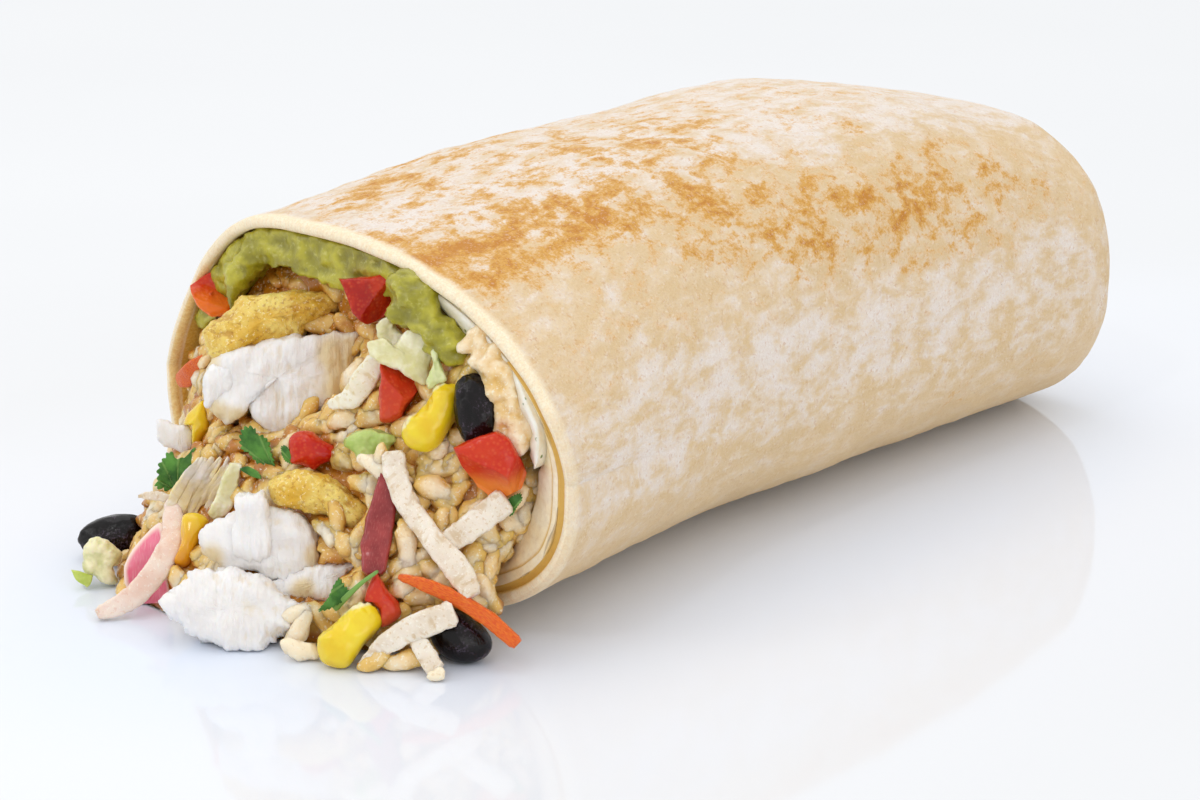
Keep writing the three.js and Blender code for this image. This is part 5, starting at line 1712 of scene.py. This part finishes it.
def drawn_in(points):
    """Brings points at the mouth in from the tortilla's inner face, less so farther in front of it."""
    spin = np.arctan2(points[:, 2] - 24, points[:, 0] + 9)
    far = np.hypot(points[:, 2] - 24, points[:, 0] + 9)
    limits = []
    for stop in (0.0, 14.0):
        ring_turn = np.linspace(-math.pi, math.pi, 361)[:-1]
        ring = roll_point(
            ring_turn, stop, roof + 0.3 + 1.15 * PLY_FOLD * np.interp(ring_turn, PLY_TURNS, PLY_FULLNESS)
        )
        limits.append(
            np.interp(
                spin, np.arctan2(ring[:, 2] - 24, ring[:, 0] + 9),
                np.hypot(ring[:, 2] - 24, ring[:, 0] + 9), period=2 * math.pi
            )
        )
    limit = limits[0] + (limits[1] - limits[0]) * np.clip(points[:, 1] / 14, 0, 1)
    limit = limit * (1 + 0.5 * smooth(-points[:, 1], 1.5, 10))
    scale = np.minimum(1, limit / np.maximum(far, 1e-6))
    moved = points.copy()
    moved[:, 0] = (points[:, 0] + 9) * scale - 9
    moved[:, 2] = np.maximum((points[:, 2] - 24) * scale + 24, np.minimum(points[:, 2], 0.06))
    return moved


# What the rice carries and must leave in sight: everything laid on the heap so far.
laid_names = (
    "tomato", "corn", "bean", "cheese", "carrot", "onion", "herb", "lettuce", "cabbage", "fish", "guacamole"
)
base = np.array([BASE_CENTRE[0], BASE_CENTRE[1], 0.0])
corners, polygons = [], []
for made in [o for o in bpy.context.scene.objects if o.name.startswith(laid_names) and "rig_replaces" in o]:
    start = len(corners)
    corners += [tuple(c) for c in places(made) + base]
    polygons += [tuple(start + i for i in p.vertices) for p in made.data.polygons]
laid_things = BVHTree.FromPolygons(corners, polygons)
outwards = Vector(OUT)


def sunk(points, depth):
    """Moves points back into the heap by that depth, and on behind whatever lies over them."""
    roofed = smooth(points[:, 2], 33, 41) * (1 - smooth(points[:, 0], 4, 16))
    beside_wall = smooth(-points[:, 0], 32, 38) * smooth(points[:, 2], 10, 17)
    moved = (
        points
        - OUT * (
            depth + FOOT_SUNK * (1 - smooth(points[:, 2], 1, 8)) + ROOF_SUNK * roofed + 4.5 * beside_wall
        )[:, None]
    )
    for i in range(len(moved)):
        start = Vector(moved[i]) + outwards * 14
        front = laid_things.ray_cast(start, -outwards, 22)
        if front[0] is None:
            continue
        back = laid_things.ray_cast(front[0] - outwards * 0.02, -outwards, 22)
        thick = 0.5 if back[0] is None else back[3]
        over = (front[3] + thick * (1 - AFLOAT)) - 14
        if over > 0:
            moved[i] -= OUT * over
    return moved


MAY_HIDE, COVER_REACH = 2, 8.0


def hides(points):
    """Whether more of these points than may be lie in front of a topping, or inside it."""
    struck = sum(laid_things.ray_cast(Vector(p), -outwards, COVER_REACH)[0] is not None for p in points)
    return struck > MAY_HIDE


rice_finish, tree, shader = new_finish(
    "rice_grain",
    **{
        "Roughness": 0.28, "IOR": 1.45, "Subsurface Weight": 0.5, "Subsurface Radius": (1.0, 0.9, 0.75),
        "Subsurface Scale": 0.0013, "Coat Weight": 0.25, "Coat Roughness": 0.08
    }
)
here = object_place(tree)
cloud = grain_noise(tree, here, 300.0, 3.0)
fine = grain_noise(tree, here, 1300.0, 3.0, 0.6)
# The shade attribute carries painted shade and light (darker golden in creases, in the lower layer, on grain
# sides turned from the camera, beside toppings and under the roof; paler on crests) as well as the rice's own
# uneven tone.
shade = worked(
    tree, "ADD", attribute(tree, "shade"),
    worked(tree, "MULTIPLY", worked(tree, "SUBTRACT", cloud, 0.5), 0.7)
)
colour = mixed(tree, ranged(tree, shade, 0.0, 0.36), tone(186, 116, 20), tone(232, 190, 102))
colour = mixed(tree, ranged(tree, shade, 0.4, 0.95), colour, tone(249, 230, 200))
# Painted highlights: the near-white specks stand in for tiny glints on the grains.
colour = speckled(tree, colour, here, 2400.0, 0.6, tone(250, 242, 224))
colour = speckled(tree, colour, here, 1500.0, 0.22, tone(198, 150, 72))
tree.links.new(colour, shader.inputs["Base Color"])
coarse = dented(tree, shader, cloud, 0.0004, 0.4)
dented(tree, shader, fine, 0.0003, 0.6, coarse)


def crests(made, rounds, reach):
    """How far each point stands out of its own softened surroundings: 0 in a crease, 1 on a crest."""
    points = places(made)
    ends = np.zeros(len(made.data.edges) * 2, np.int32)
    made.data.edges.foreach_get("vertices", ends)
    first, second = ends.reshape(-1, 2).T
    each, other = np.concatenate([first, second]), np.concatenate([second, first])
    links = np.bincount(each, minlength=len(points))
    soft = points
    for _ in range(rounds):
        soft = np.stack([np.bincount(each, soft[other, axis], len(points)) / links for axis in range(3)], 1)
    return np.clip(((points - soft) * outward(made)).sum(1) / reach * 0.5 + 0.5, 0, 1)


def shaded(made, values):
    """Keeps the shade of each point of a piece of rice, from 0, dark, to 1, pale. It holds painted shade and
    light as well as the rice's own tone.
    """
    layer = made.data.attributes.get("shade") or made.data.attributes.new("shade", "FLOAT", "POINT")
    layer.data.foreach_set("value", np.asarray(values, np.float32))


def painted_shade_and_tone(points):
    """How much darker the rice is painted: painted shade beside a topping and under the roof, and an uneven
    tone of its own, a little darker to the left.
    """
    near = [laid_things.find_nearest(Vector(p), 2.4)[3] for p in points]
    beside = np.array([0.0 if far is None else 1 - far / 2.4 for far in near])
    return (
        0.3 * beside + 0.4 * smooth(points[:, 2], 33, 40) * (1 - smooth(points[:, 0], 4, 16))
        + 0.2 * wavering(points, 8, 2) + 0.08 * (1 - smooth(points[:, 0], -14, 0))
    )


rows, columns = 90, 110
u, v = np.meshgrid(np.linspace(0, 1, columns + 1), np.linspace(0, 1, rows + 1))
heap_x = -HEAP_LEFT + (HEAP_LEFT + HEAP_RIGHT) * u
heap_y = 14 - (14 + heap_reach(heap_x)) * v
heap_z = np.maximum(heap_height(heap_x, heap_y), 0) + 0.5
mound = piece(
    "mound",
    np.stack([np.stack([heap_x, heap_y, 0 * heap_x + 0.05], -1), np.stack([heap_x, heap_y, heap_z], -1)]),
    sheet_faces(columns, rows), rice_finish
)
fill_stops = np.concatenate(
    [
        np.linspace(8, LENGTH - END_ROUNDING, 40),
        [LENGTH - END_ROUNDING + (END_ROUNDING - 3) * s for s in (0.5, 0.75, 0.92)]
    ]
)
fill_turn, fill_stop = np.meshgrid(np.linspace(-math.pi, math.pi, 80, endpoint=False), fill_stops)
fill = roll_point(fill_turn, fill_stop, roof + 0.2)
fill_ends = [[-9, 8, 24], [-9, LENGTH - 3.2, 24]]
packed = piece(
    "packed", np.vstack([fill.reshape(-1, 3), fill_ends]), tube_faces(len(fill_stops), 80), rice_finish
)
rice_core = voxel_merged("rice_core", [mound, packed], 0.9, rice_finish, 3)
where = places(rice_core)
raised(
    rice_core, (0.6 * wavering(where * [1, 1, 1.4], 2.3, 2) - 0.1) * np.clip(where[:, 2] / 1.5, 0, 1),
    "shade", 0.45
)
where = places(rice_core) + base
in_front = where[:, 1] < 6
loose_share = smooth(-where[:, 1], -6, 2)
settled = where.copy()
settled[in_front] = sunk(where[in_front], CORE_SUNK)
settled = where + (settled - where) * loose_share[:, None]
settled = drawn_in(settled) - base
settled[:, 2] = np.maximum(settled[:, 2], 0.03)
rice_core.data.vertices.foreach_set("co", (settled / 1000).ravel())
rice_core.data.update()
# Painted shade: the core is painted darker in its creases, beside the toppings and under the roof.
shaded(rice_core, 0.45 * crests(rice_core, 6, 0.5) - painted_shade_and_tone(places(rice_core) + base))
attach(rice_core, "root")
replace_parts(rice_core, "rice_filling")


GRAIN_ROUND, GRAIN_RINGS = 14, 12
PER_GRAIN = GRAIN_ROUND * GRAIN_RINGS + 2


def grain(name, length, bend, width):
    """One cooked grain: blunt, a little bent and flattened."""
    ball, ball_faces = sphere_points(GRAIN_ROUND, GRAIN_RINGS)
    along = ball[:, 0]
    blunt = np.clip(1 - np.abs(along) ** 3.6, 0, 1) ** 0.42 / np.sqrt(np.clip(1 - along**2, 1e-6, 1))
    blunt[-2:] = 0
    side = ball[:, 1] * blunt * width / 2 + bend * (along**2 - 0.4)
    lumpy = 1 + 0.12 * np.sin(5 * along + bend * 9)
    return piece(
        name,
        np.column_stack(
            [along * length / 2, side * lumpy, ball[:, 2] * blunt * lumpy * width / 2.5]
        ) + base,
        ball_faces, rice_finish
    )


kinds = bpy.data.collections.new("grain_kinds")
for number, (length, bend, width) in enumerate(
    ((7.4, 0.5, 2.8), (6.4, -0.6, 3.0), (8.0, 0.6, 2.6), (5.8, 0.3, 3.1), (6.8, -0.7, 2.5), (5.0, 0.2, 2.8))
):
    kind = grain(f"grain_kind_{number}", length, bend, width)
    bpy.context.scene.collection.objects.unlink(kind)
    kinds.objects.link(kind)
bpy.context.scene.collection.children.link(kinds)


def strewing_tree(name):
    """Geometry nodes that strew grains over a surface, turned every way and tipped up to the tilt."""
    made = bpy.data.node_groups.new(name, "GeometryNodeTree")
    for label, kind, way in (
        ("Surface", "NodeSocketGeometry", "INPUT"), ("Kinds", "NodeSocketCollection", "INPUT"),
        ("Spacing", "NodeSocketFloat", "INPUT"), ("Tilt", "NodeSocketFloat", "INPUT"),
        ("Seed", "NodeSocketInt", "INPUT"), ("Finish", "NodeSocketMaterial", "INPUT"),
        ("Grains", "NodeSocketGeometry", "OUTPUT")
    ):
        made.interface.new_socket(label, in_out=way, socket_type=kind)
    given = node(made, "NodeGroupInput").outputs
    strewn = node(
        made, "GeometryNodeDistributePointsOnFaces",
        {
            "Mesh": given["Surface"], "Distance Min": given["Spacing"], "Density Max": 400000.0,
            "Seed": given["Seed"]
        },
        distribute_method="POISSON"
    )
    choice = node(
        made, "GeometryNodeCollectionInfo",
        {"Collection": given["Kinds"], "Separate Children": True, "Reset Children": True}
    )
    size = node(made, "FunctionNodeRandomValue", {2: 0.8, 3: 1.15, "Seed": given["Seed"]}, data_type="FLOAT")
    shown = node(made, "GeometryNodeInstanceOnPoints", {
        "Points": strewn.outputs["Points"], "Instance": choice.outputs["Instances"], "Pick Instance": True,
        "Rotation": strewn.outputs["Rotation"], "Scale": size.outputs[1],
    })
    lowest = node(made, "ShaderNodeMath", {0: given["Tilt"], 1: -1.0}, operation="MULTIPLY").outputs[0]
    low = node(made, "ShaderNodeCombineXYZ", {0: lowest, 1: lowest, 2: -math.pi})
    high = node(made, "ShaderNodeCombineXYZ", {0: given["Tilt"], 1: given["Tilt"], 2: math.pi})
    spin = node(
        made, "FunctionNodeRandomValue", {0: low.outputs[0], 1: high.outputs[0], "Seed": 5},
        data_type="FLOAT_VECTOR"
    )
    turned = node(
        made, "GeometryNodeRotateInstances",
        {"Instances": shown.outputs["Instances"], "Rotation": spin.outputs[0], "Local Space": True}
    )
    hue = node(made, "FunctionNodeRandomValue", {2: 0.0, 3: 1.0, "Seed": 9}, data_type="FLOAT")
    marked = node(made, "GeometryNodeStoreNamedAttribute", {
        "Geometry": turned.outputs["Instances"], "Name": "shade", "Value": hue.outputs[1],
    }, data_type="FLOAT", domain="INSTANCE")
    real = node(made, "GeometryNodeRealizeInstances", {"Geometry": marked.outputs["Geometry"]})
    finished = node(
        made, "GeometryNodeSetMaterial", {"Geometry": real.outputs["Geometry"], "Material": given["Finish"]}
    )
    node(made, "NodeGroupOutput", {"Grains": finished.outputs["Geometry"]})
    return made


bed_rows, bed_columns = 70, 90
u, v = np.meshgrid(np.linspace(0.012, 0.99, bed_columns + 1), np.linspace(0, 1, bed_rows + 1))
bed_x = -HEAP_LEFT + (HEAP_LEFT + HEAP_RIGHT) * u
bed_y = 5 - (5 + heap_reach(bed_x)) * v
bed_z = np.maximum(heap_height(bed_x, bed_y) + 0.9, 1.25)
bed_points = np.stack([bed_x, bed_y, bed_z], -1).reshape(-1, 3)
bed_faces = [
    (
        r * (bed_columns + 1) + c, r * (bed_columns + 1) + c + 1, (r + 1) * (bed_columns + 1) + c + 1,
        (r + 1) * (bed_columns + 1) + c
    )
    for r in range(bed_rows) for c in range(bed_columns)
]
strewing = strewing_tree("strewn_grains")
_, one_grain_faces = sphere_points(GRAIN_ROUND, GRAIN_RINGS)
kept_points, kept_shades = [], []
for depth, spacing, tilt, seed in ((BED_SUNK, 0.0025, 0.3, 4), (TOP_SUNK, 0.0052, 0.45, 11)):
    lowered = drawn_in(sunk(bed_points, depth))
    lowered[:, 2] = np.maximum(lowered[:, 2], 1.25)
    bed = piece("rice_bed", lowered, bed_faces, rice_finish)
    modifier = bed.modifiers.new("strewn", "NODES")
    modifier.node_group = strewing
    wanted = {"Kinds": kinds, "Spacing": spacing, "Tilt": tilt, "Seed": seed, "Finish": rice_finish}
    for item in strewing.interface.items_tree:
        if item.item_type == "SOCKET" and item.in_out == "INPUT" and item.name in wanted:
            modifier[item.identifier] = wanted[item.name]
    strewn = bpy.data.meshes.new_from_object(bed.evaluated_get(bpy.context.evaluated_depsgraph_get()))
    bpy.data.objects.remove(bed)
    co = np.zeros(len(strewn.vertices) * 3)
    strewn.vertices.foreach_get("co", co)
    shades = np.zeros(len(strewn.vertices))
    strewn.attributes["shade"].data.foreach_get("value", shades)
    # A grain that would stand in front of a topping is left out.
    for grain_points, grain_shades in zip(
        co.reshape(-1, PER_GRAIN, 3) * 1000 + base, shades.reshape(-1, PER_GRAIN)
    ):
        grain_points[:, 2] += max(0.05 - grain_points[:, 2].min(), 0)
        if not hides(grain_points[::16]):
            kept_points.append(grain_points)
            # The grains of the lower layer are painted darker than those on top: painted shade.
            kept_shades.append(0.12 + 0.26 * grain_shades + (0.12 if depth == TOP_SUNK else 0.0))

# Single grains that lie over the toppings, on the table and at the foot.
for at, turned, length, shade in (
    ((17.6, -9.4, 23.4), -26, 9.0, 0.8), ((17.0, -9.6, 25.4), 70, 3.6, 0.6),
    ((11.8, -13.4, 15.8), 97, 6.4, 0.3), ((30.6, -17.3, 1.5), 18, 7.4, 0.4),
    ((17.3, -25.2, 1.4), -16, 6.0, 0.7), ((27.4, -20.6, 1.4), 35, 5.4, 0.3),
    ((36.2, -17.4, 0.8), 20, 2.6, 1.5), ((14.3, -22.9, 2.6), 58, 6.4, 0.8),
    ((13.0, -22.2, 4.6), 14, 6.0, 0.9)
):
    ball, _ = sphere_points(GRAIN_ROUND, GRAIN_RINGS)
    plump = min(1.0, 0.35 + length / 8)
    points = np.column_stack(
        [
            ball[:, 0] * length / 2, ball[:, 1] * 1.3 * plump + 0.3 * (ball[:, 0] ** 2 - 0.4),
            ball[:, 2] * 1.15 * plump
        ]
    )
    kept_points.append(laid(points, at, turn=turned))
    kept_shades.append(np.full(PER_GRAIN, shade))
kept_faces = [
    tuple(k * PER_GRAIN + i for i in face) for k in range(len(kept_points)) for face in one_grain_faces
]
# Painted light and shade: each grain is painted paler on its side towards the camera and darker on the side
# away from it, and darker beside the toppings and under the roof.
rises = [np.clip((points - points.mean(0)) @ OUT / 1.1, -1, 1) for points in kept_points]
kept_points, kept_shades = np.vstack(kept_points), np.concatenate(kept_shades) + 0.34 * np.concatenate(rises)
kept_shades = kept_shades + 0.1 - painted_shade_and_tone(kept_points)
loose_rice = piece("rice_grains", kept_points, kept_faces, rice_finish, shade=kept_shades)
unevenly = 0.34 * wavering(kept_points, 2.4, 2) + 0.3 * wavering(kept_points + 7, 1.0, 2)
raised(loose_rice, unevenly, "wet")

# At the right wall the grains are pressed into one ragged pale clump.
pressed = []
for at, turned, length in (
    ((24.8, 0.6, 41.2), 40, 5.0), ((26.6, 0.8, 40.6), 110, 5.6), ((28.8, 0.6, 39.8), 60, 5.4),
    ((27.4, 0.2, 38.4), 150, 4.6), ((29.6, 0.2, 37.6), 95, 5.8), ((31.4, 0.8, 37.6), 125, 5.2),
    ((28.6, 0.0, 35.8), 70, 5.0), ((30.6, 0.2, 35.4), 30, 4.4), ((32.4, 0.6, 34.8), 100, 6.0),
    ((29.8, -0.2, 33.6), 115, 5.0), ((31.6, 0.2, 33.0), 80, 5.4), ((30.8, 0.0, 31.0), 60, 4.4),
    ((33.0, 0.4, 31.6), 140, 4.6), ((32.6, 0.2, 29.4), 85, 5.4), ((26.0, 1.4, 42.6), 20, 4.4),
    ((34.2, 0.2, 29.2), 110, 4.4), ((30.2, 2.4, 39.4), 80, 6.0), ((33.4, 2.0, 34.0), 90, 7.0),
    ((34.4, 1.8, 31.0), 95, 6.0)
):
    ball, ball_faces = sphere_points(12, 9)
    points = np.column_stack(
        [ball[:, 0] * length / 2, ball[:, 1] * 1.35 + 0.3 * (ball[:, 0] ** 2 - 0.4), ball[:, 2] * 1.3]
    )
    pressed.append(piece("pressed", laid(points, at, turn=turned), ball_faces, rice_finish))
rice_wall = voxel_merged("rice_at_wall", pressed, 0.4, rice_finish, 1)
where = places(rice_wall)
raised(rice_wall, 0.3 * wavering(where, 1.5, 3), "shade")
# Painted shade: the clump is painted darker in its creases and paler on its crests.
shaded(rice_wall, 0.42 + 0.5 * crests(rice_wall, 9, 0.5))
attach(rice_wall, "root")
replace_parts(rice_wall, "rice_filling")
for kind in list(kinds.objects):
    bpy.data.objects.remove(kind)
bpy.data.collections.remove(kinds)
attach(loose_rice, "root")
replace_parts(loose_rice, "rice_filling")
